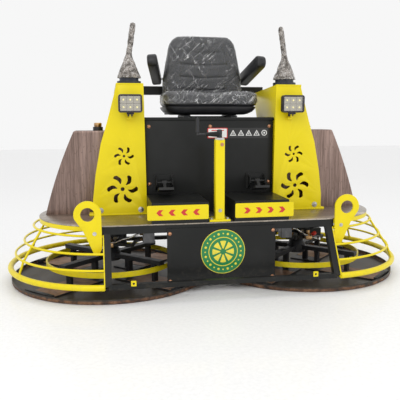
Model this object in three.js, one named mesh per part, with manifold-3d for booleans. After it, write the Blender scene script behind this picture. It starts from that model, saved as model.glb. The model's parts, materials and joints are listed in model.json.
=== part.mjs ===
// Ride-on power trowel with two rotors and float pans. Millimetres, +Z up.
// Origin: on the floor, midway between the two rotor axes. The front of the machine faces -Y.
import * as THREE from 'three';
import { mergeVertices } from 'three/addons/utils/BufferGeometryUtils.js';
import Module from 'manifold-3d';

const wasm = await Module();
wasm.setup();

// ---- Driving dimensions ---------------------------------------------------------------------
const GAP = 0.4;              // between pieces that touch or are bolted together
const RUN = 1.0;              // between pieces that turn or slide past each other

// Rotors
const ROTOR_X = 490;          // rotor axis from the centre plane
const PAN_GAP = 5;            // pan rim to the centre plane
const PAN_SHEET = 4;
const PAN_LIP = 22;
const PAN_DISH = 6;           // radial width of the rim's rolled edge
const RING_BAND = [25, 8];    // stabiliser ring: height, thickness
const RING_INSET = 163;       // pan rim to stabiliser ring
const RING_LOW = 68;          // stabiliser ring's lower edge above the floor
const HUB_R = 46;
const ARM_WIDTH = 38;
const ARM_HIGH = 22;
const SHOE = [150, 6];        // trowel shoe: width, thickness
const GEARBOX = [150, 150, 78];
const GEARBOX_Z = 158;        // underside of the gearbox
const MOTOR_R = 48;
const MOTOR_HIGH = 56;
const TRUNNION_R = 11;
const YOKE_BAR = 16;
const YOKE_ROOM = 7;          // gearbox to yoke, all round

// Guard
const TUBE_R = 13.5;          // guard ring tube
const TUBE_Z = 75;
const ROD_R = 5.5;
const RODS = [[26, 142], [69, 204], [115, 273]];  // each rod: inset from the ring, height
const POST = 28;              // square corner post
const POST_OUT = 22;          // post's axis outside the rotor axis
const END_PLATE = 5;
const STRUT_TURNS = [-30, 30];  // struts round each cage, degrees from its outer side

// Deck and frame
const DECK_Z = 321;           // upper face
const DECK_T = 6;
const DECK_R = 350;           // end radius
const DECK_IN = 10;           // end centre inside the rotor axis
const DECK_FRONT = 376;
const SKIRT = [20, 5];        // edge band round each end: height, thickness
const SKIRT_FROM = 46;        // the band starts this far outside the rotor axis
const BEAM = [30, 34];        // frame beams: width, height
const BEAM_X = 190;           // long beams from the centre plane
const PANEL_HALF = 250;
const PANEL_LOW = 45;
const PANEL_T = 4;
const EYE_R = 58;
const EYE_HOLE = 31.5;
const EYE_OUT = 104;          // eye centre outside the rotor axis
const EYE_UP = 52;            // eye centre above the deck
const EYE_T = 10;

// Hood, steps and column
const HOOD_HALF = 318;
const HOOD_FRONT = 94;
const HOOD_BACK = 250;
const HOOD_TOP = 788;
const HOOD_WALL = 4;
const HOOD_LIP = [15, 5];     // cap band round the top: height, overhang
const STEP_IN = 60;           // inner side of a step box
const STEP_OUT = 316.5;       // outer side of a step box
const STEP_LAP = 19.5;        // its front plate runs this far past it
const STEP_HIGH = 93;
const STEP_WALL = 3;
const COLUMN_X = -8;
const COLUMN = 42;
const COLUMN_TOP = 690;
const COLUMN_FOOT = [96, 84, 10];
const CRANK_REACH = 99;
const GRIP_R = 8;
const GRIP_LONG = 60;

// Control towers
const TOWER_IN = 7;           // tower's inner edge outside the hood
const TOWER_FRONT = 120;
const TOWER_SHEET = 5;
const TOWER_TOP = 945;
const TOWER_BACK = 285;
const TOWER_WALL = [[-60, 700], [174, 700], [TOWER_BACK, 890]];  // inner side's lower rear edge: Y, Z
const PETAL = [[0.34, 0.14, 0.02], [0.5, 0.24, 0.06], [0.67, 0.22, 0.11], [0.86, 0, 0.15]];  // r, bend, half
const TOWER_DROP = 25;        // fall of the top plate over its length
const TOWER_RIB = 45;         // depth of the arm's side bands
const TOWER_EDGE = [[255, 0], [255, 70], [240, 190], [212, 335], [182, 430], [157, 520], [135, 600]];
const TOWER_TIP = 128;        // width at the top
const TOWER_LAP = 8;          // front sheet's overlap with the hood's side
const TOWER_FOOT = [12, 62, 9];
const CROSSBAR = [40, 46];
const LAMP = [106, 45, 80];
const LAMP_Y = 172;
const LAMP_Z = 851;

// Tanks
const TANK_IN = 26;           // tank's inner side outside the tower's inner edge
const TANK_SPAN = [-40, 112]; // front and back
const TANK_TOP = 720;
const TANK_WIDE = [446, 306]; // width at the bottom and at the top
const TANK_BULGE = 18;
const TANK_WALL = 3;
const NECK_R = 25;
const NECK_HIGH = 22;
const CAP_R = 18;
const CAP_HIGH = 20;

// Seat
const SEAT_X = 14;
const SEAT_WIDE = 464;
const SEAT_FRONT = 90;
const SEAT_BACK = 176;        // front face of the backrest
const SEAT_RISE = 13;         // seat shell above the hood
const SHELL_HIGH = 40;
const CUSHION_HIGH = 68;
const BACK_THICK = 66;
const BACK_TOP = 1206;
const BACK_EDGE = [[208, 0], [208, 70], [200, 140], [187, 210], [171, 280], [162, 308], [148, 327],
  [122, 337]];
const SEAT_PAD_R = 24;
const RAIL = [34, 8, 118];   // seat rail: width, height, distance from the seat's middle
const ARMREST = [50, 46, 205];
const ARMREST_UP = 22;        // angle above level, degrees
const ARMREST_SPLAY = 11;

// Joysticks
const STICK_X = 388;
const STICK_Y = -50;
const STICK_FLANGE = 57;
const STICK_PIVOT = 21;       // pivot above the tower's front edge
const CUP = [27, 46];         // cup: inner and outer radius
const LEVER_R = 5;
const LEVER_GRIP = [8.5, 140, 1226];  // radius, length, top
const LEAN_Z = 1074;          // the lever is bent inwards here
const LEAN = 9;               // degrees
const GIMBAL = [13, 19, 8];
const WRAP_T = 1.5;
const WRAP = [[57, 974], [52, 990], [36, 1030], [19, 1070], [14.5, 1088], [13.8, 1160], [13.8, 1232]];

// Foot pedals
const PEDAL_X = 232;
const PEDAL_PAD = [70, 12, 88];
const PEDAL_PIN_R = 5;

// ---- Derived places --------------------------------------------------------------------------
const PAN_R = ROTOR_X - PAN_GAP;
const CAGE_R = PAN_R + 1.5;
const RING_R = PAN_R - RING_INSET;
const DECK_X = ROTOR_X - DECK_IN;
const DECK_Y = DECK_R - DECK_FRONT;      // deck end centre
const DECK_LOW = DECK_Z - DECK_T;
const BEAM_TOP = DECK_LOW - GAP;
const BEAM_LOW = BEAM_TOP - BEAM[1];
const POST_X = ROTOR_X + POST_OUT;
const FLOOR_UP = DECK_Z + GAP;           // underside of what stands on the deck
const TOWER_X = HOOD_HALF + TOWER_IN;
const TANK_X = TOWER_X + TANK_IN;
const SHELL_Z = HOOD_TOP + SEAT_RISE;
const STICK_Z = TOWER_TOP + STICK_PIVOT;

// ---- Shape helpers ---------------------------------------------------------------------------
function solid(geometry) {
  const bare = geometry.clone();
  bare.deleteAttribute('normal');
  bare.deleteAttribute('uv');
  const whole = mergeVertices(bare, 1e-3);
  return new wasm.Manifold(new wasm.Mesh({
    numProp: 3,
    vertProperties: new Float32Array(whole.attributes.position.array),
    triVerts: new Uint32Array(whole.index.array),
  }));
}

function box(x0, x1, y0, y1, z0, z1) {
  const shape = new THREE.BoxGeometry(x1 - x0, y1 - y0, z1 - z0);
  return solid(shape.translate((x0 + x1) / 2, (y0 + y1) / 2, (z0 + z1) / 2));
}

function outline(points, holes = []) {
  const shape = points instanceof THREE.Shape
    ? points : new THREE.Shape(points.map(([a, b]) => new THREE.Vector2(a, b)));
  shape.holes.push(...holes);
  return shape;
}

function prism(shape, depth, curveSegments = 3) {
  return new THREE.ExtrudeGeometry(shape, { depth, bevelEnabled: false, curveSegments, steps: 1 });
}

// Extrusions of an XY outline along Z, an XZ outline along Y, and a YZ outline along X.
const alongZ = (shape, z0, z1) => solid(prism(outline(shape), z1 - z0).translate(0, 0, z0));
const alongY = (shape, y0, y1) =>
  solid(prism(outline(shape), y1 - y0).rotateX(Math.PI / 2).translate(0, y1, 0));
const alongX = (shape, x0, x1) =>
  solid(prism(outline(shape), x1 - x0).rotateX(Math.PI / 2).rotateZ(Math.PI / 2).translate(x0, 0, 0));

function roundRect(x0, x1, y0, y1, r) {
  const shape = new THREE.Shape();
  shape.moveTo(x0 + r, y0);
  for (const [cx, cy, from] of [[x1 - r, y0 + r, -0.5], [x1 - r, y1 - r, 0],
    [x0 + r, y1 - r, 0.5], [x0 + r, y0 + r, 1]]) {
    shape.absarc(cx, cy, r, from * Math.PI, (from + 0.5) * Math.PI);
  }
  return shape;
}

function lathe(points, x, y, sides) {
  const profile = points.map(([r, z]) => new THREE.Vector2(r, z));
  return solid(new THREE.LatheGeometry(profile, sides).rotateX(Math.PI / 2).translate(x, y, 0));
}

const disc = (r, z0, z1, x = 0, y = 0, sides = 32) =>
  lathe([[0, z0], [r, z0], [r, z1], [0, z1]], x, y, sides);

function between(geometry, a, b) {
  const from = new THREE.Vector3(...a);
  const to = new THREE.Vector3(...b);
  const turn = new THREE.Quaternion().setFromUnitVectors(
    new THREE.Vector3(0, 1, 0), to.clone().sub(from).normalize());
  const middle = from.clone().add(to).multiplyScalar(0.5);
  return geometry.applyQuaternion(turn).translate(middle.x, middle.y, middle.z);
}

const length = (a, b) => new THREE.Vector3(...a).distanceTo(new THREE.Vector3(...b));
const bar = (a, b, r, sides = 12, r2 = r) =>
  solid(between(new THREE.CylinderGeometry(r2, r, length(a, b), sides), a, b));
const squareBar = (a, b, w, d = w) => solid(between(new THREE.BoxGeometry(w, length(a, b), d), a, b));

function sweep(points, r, steps, sides = 8) {
  const circle = new THREE.Shape();
  circle.absarc(0, 0, r, 0, 2 * Math.PI);
  const path = new THREE.CatmullRomCurve3(points.map((p) => new THREE.Vector3(...p)));
  return solid(new THREE.ExtrudeGeometry(circle,
    { extrudePath: path, steps, curveSegments: sides, bevelEnabled: false }));
}

const join = (...pieces) => pieces.reduce((all, piece) => all.add(piece));
const cut = (from, ...pieces) => pieces.reduce((left, piece) => left.subtract(piece), from);
const around = (count, make) => Array.from({ length: count }, (_, i) => make(2 * Math.PI * i / count));

function move(piece, matrix) {
  const got = piece.getMesh();
  const shape = new THREE.BufferGeometry();
  shape.setAttribute('position', new THREE.BufferAttribute(new Float32Array(got.vertProperties), 3));
  shape.setIndex(new THREE.BufferAttribute(new Uint32Array(got.triVerts), 1));
  shape.applyMatrix4(matrix);
  if (matrix.determinant() < 0) shape.index.array.reverse();
  return solid(shape);
}

const flip = (piece) => move(piece, new THREE.Matrix4().makeScale(-1, 1, 1));
const flipY = (piece) => move(piece, new THREE.Matrix4().makeScale(1, -1, 1));
const turnZ = (piece, angle, x = 0, y = 0) => move(piece, new THREE.Matrix4()
  .makeTranslation(x, y, 0).multiply(new THREE.Matrix4().makeRotationZ(angle)));

// ---- Materials and nodes ---------------------------------------------------------------------
const paint = (color, roughness, metalness) =>
  new THREE.MeshStandardMaterial({ color, roughness, metalness });
const YELLOW = paint(0xecd916, 0.42, 0.0);
const BLACK = paint(0x222323, 0.5, 0.1);
const STEEL = paint(0xb9aa97, 0.25, 1.0);
const ZINC = paint(0xb6b8ba, 0.35, 1.0);
const BRASS = paint(0xb98a4a, 0.35, 1.0);
const RUST = paint(0x4a3a2c, 0.65, 0.7);
const VINYL = paint(0x1b1c20, 0.35, 0.0);
const FILM = paint(0xd8dde0, 0.15, 0.0);
const CAST = paint(0x3a3c3e, 0.55, 0.6);

const machine = new THREE.Group();

function node(name, piece, material) {
  const got = piece.getMesh();
  const geometry = new THREE.BufferGeometry();
  geometry.setAttribute('position',
    new THREE.BufferAttribute(new Float32Array(got.vertProperties), 3));
  geometry.setIndex(new THREE.BufferAttribute(new Uint32Array(got.triVerts), 1));
  geometry.computeVertexNormals();
  const mesh = new THREE.Mesh(geometry, material);
  mesh.name = name;
  machine.add(mesh);
}

// The right side is modelled and the left side mirrors it.
function pair(name, piece, material) {
  node(`${name}_right`, piece, material);
  node(`${name}_left`, flip(piece), material);
}

// ---- Deck, skirt and frame -------------------------------------------------------------------
function deckOutline(inset) {
  const shape = new THREE.Shape();
  const r = DECK_R - inset;
  shape.absarc(DECK_X, DECK_Y, r, -Math.PI / 2, Math.PI / 2);
  shape.absarc(-DECK_X, DECK_Y, r, Math.PI / 2, 1.5 * Math.PI);
  return shape;
}
const stadium = (inset, z0, z1) => solid(prism(deckOutline(inset), z1 - z0, 10).translate(0, 0, z0));

const wellHalf = HOOD_HALF - 2 * HOOD_WALL - 40;
const engineWell = box(-wellHalf, wellHalf, -HOOD_FRONT + 30, HOOD_BACK - 40, DECK_LOW - 1, DECK_Z + 1);
node('deck_plate', cut(stadium(0, DECK_LOW, DECK_Z), engineWell), STEEL);
const skirtLow = DECK_LOW - GAP - SKIRT[0];
const skirtX = ROTOR_X + SKIRT_FROM;
pair('deck_skirt', cut(stadium(0, skirtLow, DECK_LOW - GAP), stadium(SKIRT[1], skirtLow - 1, DECK_LOW),
  box(-3 * DECK_X, skirtX, -2 * DECK_R, 2 * DECK_R, skirtLow - 1, DECK_LOW)), YELLOW);

const beamFront = DECK_FRONT;
const beamBack = DECK_R + DECK_Y;
const beamHalf = skirtX - GAP;
const trunnionY = GEARBOX[1] / 2 + YOKE_ROOM + YOKE_BAR;    // yoke's outer face
const trunnionZ = GEARBOX_Z + GEARBOX[2] / 2;
const hangerY = trunnionY + RUN;
const HANGER_T = 16;

function frameSide() {
  const railY = CAGE_R - 10;
  const post = squareBar([POST_X, -beamFront + BEAM[0] / 2 + 4, BEAM_LOW + 4],
    [POST_X, -railY, TUBE_Z - 3], POST);
  const rail = squareBar([POST_X, -railY, TUBE_Z], [-1, -railY, TUBE_Z], 22);
  const back = squareBar([POST_X, beamBack - BEAM[0] / 2 - 4, BEAM_LOW + 4],
    [POST_X, railY, TUBE_Z - 3], POST);
  const cross = [-1, 1].map((way) => {
    const near = way * hangerY;
    const far = way * (hangerY + HANGER_T);
    return join(
      box(BEAM_X, ROTOR_X + 60, Math.min(near, far), Math.max(near, far), BEAM_LOW, BEAM_TOP),
      cut(box(ROTOR_X - 28, ROTOR_X + 28, Math.min(near, far), Math.max(near, far),
        trunnionZ - 28, BEAM_LOW + 1),
      bar([ROTOR_X, near - way * 2, trunnionZ], [ROTOR_X, far + way * 2, trunnionZ],
        TRUNNION_R + RUN, 14)));
  });
  const long = box(BEAM_X, BEAM_X + BEAM[0], -beamFront + 1, beamBack - 1, BEAM_LOW, BEAM_TOP);
  return join(post, rail, back, flipY(rail), long, ...cross);
}
const frameHalf = frameSide();
const endBeams = box(-beamHalf, beamHalf, -beamFront, beamBack, BEAM_LOW, BEAM_TOP)
  .intersect(stadium(0, BEAM_LOW - 1, BEAM_TOP + 1))
  .subtract(box(-beamHalf - 1, beamHalf + 1, -beamFront + BEAM[0], beamBack - BEAM[0], BEAM_LOW - 1,
    BEAM_TOP + 1));
node('main_frame', join(endBeams.decompose()[0], endBeams.decompose()[1],
  box(-BEAM_X - 1, BEAM_X + 1, -30, 0, BEAM_LOW, BEAM_TOP),
  frameHalf, flip(frameHalf)), BLACK);

const panelY = -beamFront - GAP;
node('lower_front_panel', alongY(roundRect(-PANEL_HALF, PANEL_HALF, PANEL_LOW,
  BEAM_LOW + 18, 6), panelY - PANEL_T, panelY), BLACK);

// ---- Lifting eyes ----------------------------------------------------------------------------
const eyeX = ROTOR_X + EYE_OUT;
const eyeZ = DECK_Z + EYE_UP;
const eyeShape = new THREE.Shape();
eyeShape.absarc(eyeX, eyeZ, EYE_R, -0.1 * Math.PI, 0.95 * Math.PI);
eyeShape.lineTo(eyeX - EYE_R, eyeZ - 150);
eyeShape.lineTo(eyeX - EYE_R + 16, eyeZ - 180);
eyeShape.lineTo(eyeX - EYE_R + 34, eyeZ - 172);
eyeShape.lineTo(eyeX + 22, eyeZ - 62);
const eyeFront = DECK_FRONT + GAP + EYE_T;
const eye = cut(alongY(eyeShape, -eyeFront, -eyeFront + EYE_T),
  bar([eyeX, -eyeFront - 1, eyeZ], [eyeX, -eyeFront + EYE_T + 1, eyeZ], EYE_HOLE, 24));
const eyeBolt = bar([eyeX - 28, -eyeFront - 6, eyeZ - 84], [eyeX - 28, -eyeFront + 1, eyeZ - 84], 9, 6);
pair('lifting_eye', join(eye, eyeBolt), YELLOW);

// ---- Guard cages -----------------------------------------------------------------------------
const cageEnd = POST_X + POST / 2 + GAP;
function arcPoints(r, z) {
  const from = Math.acos((cageEnd + END_PLATE / 2 - ROTOR_X) / r);
  return Array.from({ length: 25 }, (_, i) => {
    const angle = -from + 2 * from * i / 24;
    return [ROTOR_X + r * Math.cos(angle), r * Math.sin(angle), z];
  });
}
function cage() {
  const rings = [[CAGE_R, TUBE_Z, TUBE_R], ...RODS.map(([inset, z]) => [CAGE_R - inset, z, ROD_R])];
  const arcs = rings.map(([r, z, thick]) => sweep(arcPoints(r, z), thick, 18, thick > 10 ? 4 : 3));
  const struts = STRUT_TURNS.map((degrees) => {
    const angle = degrees * Math.PI / 180;
    const at = ([r, z]) => [ROTOR_X + r * Math.cos(angle), r * Math.sin(angle), z];
    const line = rings.map(([r, z]) => [r, z]);
    return join(...line.slice(1).map((p, k) => bar(at(line[k]), at(p), ROD_R, 6)));
  });
  const top = CAGE_R - RODS.at(-1)[0];
  const profile = [[-CAGE_R - 2, TUBE_Z - 10], [-CAGE_R - 2, TUBE_Z + 12], [-top - 2, RODS.at(-1)[1] + 6],
    [-top + 22, RODS.at(-1)[1] + 6], [-CAGE_R + 26, TUBE_Z - 10]];
  const plate = alongX(profile, cageEnd, cageEnd + END_PLATE);
  return join(...arcs, ...struts, plate, flipY(plate));
}
pair('guard_cage', cage(), YELLOW);

// ---- Step boxes, their front plates and the crank column ---------------------------------------
const stepFront = -DECK_FRONT + 3;
const stepBack = -HOOD_FRONT - GAP;
const stepTop = DECK_Z + STEP_HIGH;
const stepBox = (inset, z0, z1) => box(STEP_IN + inset, STEP_OUT - inset, stepFront + inset,
  stepBack - inset, z0, z1);
pair('step_box', cut(stepBox(0, FLOOR_UP, stepTop),
  stepBox(STEP_WALL, FLOOR_UP - 1, stepTop - STEP_WALL)), BLACK);
pair('step_plate', alongY(roundRect(STEP_IN + 2, STEP_OUT + STEP_LAP, DECK_Z + 16, DECK_Z + 81, 5),
  stepFront - GAP - 2.5, stepFront - GAP), YELLOW);

const columnY = -DECK_FRONT + 4 + COLUMN / 2;
const footTop = FLOOR_UP + COLUMN_FOOT[2];
const columnBar = box(COLUMN_X - COLUMN / 2, COLUMN_X + COLUMN / 2, columnY - COLUMN / 2,
  columnY + COLUMN / 2, footTop - 1, COLUMN_TOP);
const footY = -DECK_FRONT + 2;
const columnFoot = box(COLUMN_X - COLUMN_FOOT[0] / 2, COLUMN_X + COLUMN_FOOT[0] / 2, footY,
  footY + COLUMN_FOOT[1], FLOOR_UP, footTop);
const spindleBore = disc(7, COLUMN_TOP - 60, COLUMN_TOP + 20, COLUMN_X, columnY, 12);
const collar = disc(24, COLUMN_TOP - 1, COLUMN_TOP + 7, COLUMN_X, columnY, 20);
node('crank_column', cut(join(columnBar, columnFoot, collar), spindleBore), YELLOW);

const hubLow = COLUMN_TOP + 7 + RUN;
const armZ = hubLow + 15;
const gripX = COLUMN_X - CRANK_REACH;
const spindle = disc(6, COLUMN_TOP - 50, hubLow + 5, COLUMN_X, columnY, 12);
const crankHub = disc(11, hubLow, hubLow + 36, COLUMN_X, columnY, 12);
const boss = bar([COLUMN_X, columnY, armZ], [COLUMN_X - 62, columnY, armZ], 13, 12, 8);
const crankArm = bar([COLUMN_X - 60, columnY, armZ], [gripX, columnY, armZ], 5, 8);
const gripPin = disc(4, armZ - 5, armZ + 14 + GRIP_LONG, gripX, columnY, 10);
node('crank_arm', join(spindle, crankHub, boss, crankArm, gripPin), BLACK);
node('crank_grip', cut(disc(GRIP_R, armZ + 8, armZ + 8 + GRIP_LONG, gripX, columnY, 20),
  disc(4.6, armZ, armZ + 20 + GRIP_LONG, gripX, columnY, 10)), ZINC);

// ---- Hood, engine and pump ---------------------------------------------------------------------
const hoodShell = join(
  box(-HOOD_HALF, HOOD_HALF, -HOOD_FRONT, HOOD_BACK, FLOOR_UP, HOOD_TOP),
  box(-HOOD_HALF - HOOD_LIP[1], HOOD_HALF + HOOD_LIP[1], -HOOD_FRONT - HOOD_LIP[1],
    HOOD_BACK + HOOD_LIP[1], HOOD_TOP - HOOD_LIP[0], HOOD_TOP));
node('hood', cut(hoodShell, box(-HOOD_HALF + HOOD_WALL, HOOD_HALF - HOOD_WALL,
  -HOOD_FRONT + HOOD_WALL, HOOD_BACK - HOOD_WALL, FLOOR_UP - 1, HOOD_TOP - HOOD_WALL)), BLACK);

const ENGINE = [300, 190, 270];
const engineLow = BEAM_TOP + GAP + 12;
const engineY = (HOOD_BACK - HOOD_FRONT) / 2;
const engineFeet = [-1, 1].map((way) => box(way * (BEAM_X + BEAM[0] / 2) - 12,
  way * (BEAM_X + BEAM[0] / 2) + 12, engineY - 70, engineY + 70, BEAM_TOP + GAP, engineLow + 12));
const sump = box(-BEAM_X - BEAM[0] / 2, BEAM_X + BEAM[0] / 2, engineY - 60, engineY + 60,
  engineLow, engineLow + 14);
node('engine_block', join(sump, ...engineFeet, box(-ENGINE[0] / 2, ENGINE[0] / 2,
  engineY - ENGINE[1] / 2, engineY + ENGINE[1] / 2, engineLow, engineLow + ENGINE[2]),
box(-60, 60, engineY - 70, engineY + 70, engineLow + ENGINE[2] - 1, engineLow + ENGINE[2] + 60)), CAST);
node('engine_fan_housing', bar([-ENGINE[0] / 2 - GAP, engineY, engineLow + 150],
  [-ENGINE[0] / 2 - 70, engineY, engineLow + 150], 105, 20, 88), BLACK);
node('hydraulic_pump', join(bar([ENGINE[0] / 2 + GAP, engineY, engineLow + 130],
  [ENGINE[0] / 2 + 90, engineY, engineLow + 130], 52, 20),
box(ENGINE[0] / 2 + 20, ENGINE[0] / 2 + 80, engineY - 34, engineY + 34,
  engineLow + 120, engineLow + 205)), ZINC);

// ---- Control towers ------------------------------------------------------------------------------
const towerBase = FLOOR_UP + TOWER_FOOT[2];
const topAt = (y) => TOWER_TOP - TOWER_DROP * (y + TOWER_FRONT) / (TOWER_BACK + TOWER_FRONT);

function petal(cx, cz, size, angle) {
  const at = (r, a) => [cx + size * r * Math.cos(angle + a), cz + size * r * Math.sin(angle + a)];
  const side = (way) => PETAL.map(([r, bend, half]) => at(r, bend + way * half / r));
  return alongY([...side(-1), at(1, -0.07), at(1, 0.07), ...side(1).reverse()],
    -TOWER_FRONT - 1, -TOWER_FRONT + TOWER_SHEET + 1);
}
function flower(cx, cz, size) {
  return [...around(6, (angle) => petal(cx, cz, size, angle)),
    bar([cx, -TOWER_FRONT - 1, cz], [cx, -TOWER_FRONT + TOWER_SHEET + 1, cz], size * 0.14, 10)];
}

function tower() {
  const edge = TOWER_EDGE.map(([w, z]) => [TOWER_X - TOWER_LAP + w, towerBase + z]);
  const right = TOWER_X + TOWER_TIP;
  const face = alongY([[TOWER_X - TOWER_LAP, towerBase], ...edge, [right, TOWER_TOP - 14],
    [right - 12, TOWER_TOP - TOWER_SHEET], [TOWER_X, TOWER_TOP - TOWER_SHEET]],
  -TOWER_FRONT, -TOWER_FRONT + TOWER_SHEET);
  const wall = alongX([[-TOWER_FRONT + 1, towerBase], [-TOWER_FRONT + 60, towerBase], ...TOWER_WALL,
    [TOWER_BACK, topAt(TOWER_BACK) - TOWER_SHEET], [-TOWER_FRONT + 1, TOWER_TOP - TOWER_SHEET]],
  TOWER_X, TOWER_X + TOWER_SHEET);
  const band = (x) => alongX([[-TOWER_FRONT + 1, TOWER_TOP - 1],
    [-TOWER_FRONT + 1, TOWER_TOP - TOWER_RIB], [TOWER_BACK, topAt(TOWER_BACK) - TOWER_RIB],
    [TOWER_BACK, topAt(TOWER_BACK) - 1]], x, x + TOWER_SHEET);
  const top = alongX([[-TOWER_FRONT, TOWER_TOP], [-TOWER_FRONT, TOWER_TOP - TOWER_SHEET],
    [TOWER_BACK, topAt(TOWER_BACK) - TOWER_SHEET], [TOWER_BACK, topAt(TOWER_BACK)]],
  TOWER_X, right);
  const foot = box(HOOD_HALF + GAP, TOWER_X + TOWER_EDGE[0][0] + TOWER_FOOT[0],
    -TOWER_FRONT, -TOWER_FRONT + TOWER_FOOT[1], FLOOR_UP, towerBase + 1);
  const flange = edge.slice(1).map((p, i) => squareBar([edge[i][0] - 3, -TOWER_FRONT + 30, edge[i][1]],
    [p[0] - 3, -TOWER_FRONT + 30, p[1]], TOWER_SHEET, 58));
  return cut(join(face, wall, band(right - TOWER_SHEET), top, foot, ...flange),
    ...flower(TOWER_X + 97, towerBase + 275, 47), ...flower(TOWER_X + 107, towerBase + 117, 74));
}
pair('control_tower', tower(), YELLOW);

const crossbarTop = topAt(TOWER_BACK) + 36;
const crossbarEnd = TOWER_X + 50;
node('rear_crossbar', join(
  box(-crossbarEnd, crossbarEnd, TOWER_BACK + GAP, TOWER_BACK + GAP + CROSSBAR[0],
    crossbarTop - CROSSBAR[1], crossbarTop)), BLACK);

// ---- Work lamps ----------------------------------------------------------------------------------
const lampX = TOWER_X + 66;
const lampPivot = LAMP_Z - LAMP[2] / 2 - 12;
const yokeY = -LAMP_Y + LAMP[1] / 2;
const bracketFoot = box(lampX - 14, lampX + 14, yokeY - 3, -TOWER_FRONT - GAP, lampPivot - 19,
  lampPivot - 13);
const bracketPad = box(lampX - 14, lampX + 14, -TOWER_FRONT - GAP - 4, -TOWER_FRONT - GAP,
  lampPivot - 24, lampPivot + 14);
const bracketLug = cut(box(lampX - 4, lampX + 4, yokeY - 12, yokeY + 12, lampPivot - 14, lampPivot + 9),
  bar([lampX - 6, yokeY, lampPivot], [lampX + 6, yokeY, lampPivot], 5, 16));
pair('lamp_bracket', join(bracketFoot, bracketPad, bracketLug), BLACK);
const lampBody = alongY(roundRect(lampX - LAMP[0] / 2, lampX + LAMP[0] / 2, LAMP_Z - LAMP[2] / 2,
  LAMP_Z + LAMP[2] / 2, 10), -LAMP_Y - LAMP[1] / 2, -LAMP_Y + LAMP[1] / 2);
const lens = box(lampX - LAMP[0] / 2 + 8, lampX + LAMP[0] / 2 - 8, -LAMP_Y - LAMP[1] / 2 - 1,
  -LAMP_Y - LAMP[1] / 2 + 6, LAMP_Z - LAMP[2] / 2 + 8, LAMP_Z + LAMP[2] / 2 - 8);
const ears = [-1, 1].map((way) => box(lampX + way * 8.5 - 3.5, lampX + way * 8.5 + 3.5, yokeY - 7,
  yokeY + 7, lampPivot - 7, LAMP_Z - LAMP[2] / 2 + 1));
pair('lamp', join(cut(lampBody, lens), ...ears,
  bar([lampX - 12, yokeY, lampPivot], [lampX + 12, yokeY, lampPivot], 4, 16)), BLACK);

// ---- Tanks ---------------------------------------------------------------------------------------
function tankShape(inset) {
  const [low, high] = TANK_WIDE;
  const [x0, x1] = [TANK_X + inset, TANK_X + high - inset];
  const [z0, z1] = [FLOOR_UP + inset, TANK_TOP - inset];
  const shape = new THREE.Shape();
  shape.moveTo(x0, z0);
  shape.lineTo(TANK_X + low - inset, z0);
  shape.quadraticCurveTo((TANK_X + low - inset + x1) / 2 + TANK_BULGE, (z0 + z1) / 2, x1, z1 - 16);
  shape.quadraticCurveTo(x1 - 4, z1, x1 - 24, z1);
  shape.lineTo(x0 + 16, z1);
  shape.quadraticCurveTo(x0, z1, x0, z1 - 16);
  return shape;
}
function tank() {
  const neckX = TANK_X + TANK_WIDE[1] - 116;
  const neckY = (TANK_SPAN[0] + TANK_SPAN[1]) / 2;
  const neckTop = TANK_TOP + NECK_HIGH;
  const neck = disc(NECK_R, TANK_TOP - 1, neckTop, neckX, neckY, 20);
  const bore = disc(NECK_R - 5, TANK_TOP - 20, neckTop + 1, neckX, neckY, 20);
  const inside = alongY(tankShape(TANK_WALL), TANK_SPAN[0] + TANK_WALL, TANK_SPAN[1] - TANK_WALL);
  const plug = lathe([[0, TANK_TOP + 6], [NECK_R - 6, TANK_TOP + 6], [NECK_R - 6, neckTop + RUN],
    [CAP_R, neckTop + RUN + 2], [CAP_R, neckTop + CAP_HIGH], [0, neckTop + CAP_HIGH]], neckX, neckY, 16);
  return [cut(join(alongY(tankShape(0), ...TANK_SPAN), neck), bore, inside), plug];
}
const [tankBody, tankCap] = tank();
pair('tank', tankBody, STEEL);
pair('tank_cap', tankCap, BRASS);

// ---- Seat ----------------------------------------------------------------------------------------
const seatHalf = SEAT_WIDE / 2;
const cushionLow = SHELL_Z + SHELL_HIGH + GAP;
const railTop = HOOD_TOP + GAP + RAIL[1];
function rails() {
  const strips = [-1, 1].map((way) => box(SEAT_X + way * RAIL[2] - RAIL[0] / 2,
    SEAT_X + way * RAIL[2] + RAIL[0] / 2, -40, 190, HOOD_TOP + GAP, railTop));
  return join(...strips, box(SEAT_X - RAIL[2], SEAT_X + RAIL[2], 60, 90, HOOD_TOP + GAP, railTop - 2));
}
node('seat_rails', rails(), CAST);

const backZ = cushionLow + 24;
const backHalf = BACK_EDGE.map(([x, z]) => [x, backZ + z]);
const backShape = (grow) => {
  const right = backHalf.map(([x, z]) => [SEAT_X + x + grow, z]);
  const left = [...backHalf].reverse().map(([x, z]) => [SEAT_X - x - grow, z]);
  return [[SEAT_X + BACK_EDGE[0][0] + grow, backZ - 22], ...right,
    [SEAT_X + 60, BACK_TOP + grow / 2], [SEAT_X - 60, BACK_TOP + grow / 2], ...left,
    [SEAT_X - BACK_EDGE[0][0] - grow, backZ - 22]];
};
const armY = SEAT_BACK + BACK_THICK + GAP + 8;   // armrest pivot
const armZ0 = cushionLow + 152;
const armX = BACK_EDGE[1][0] + 18;
const seatPan = alongZ(roundRect(SEAT_X - seatHalf + 4, SEAT_X + seatHalf - 4, -SEAT_FRONT + 4,
  SEAT_BACK + BACK_THICK + 8, 40), SHELL_Z, SHELL_Z + SHELL_HIGH);
const backPan = alongY(backShape(2), SEAT_BACK + BACK_THICK + GAP, SEAT_BACK + BACK_THICK + GAP + 8);
const backFoot = box(SEAT_X - 200, SEAT_X + 200, SEAT_BACK + BACK_THICK + GAP,
  SEAT_BACK + BACK_THICK + 8, SHELL_Z + 2, backZ);
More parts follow.
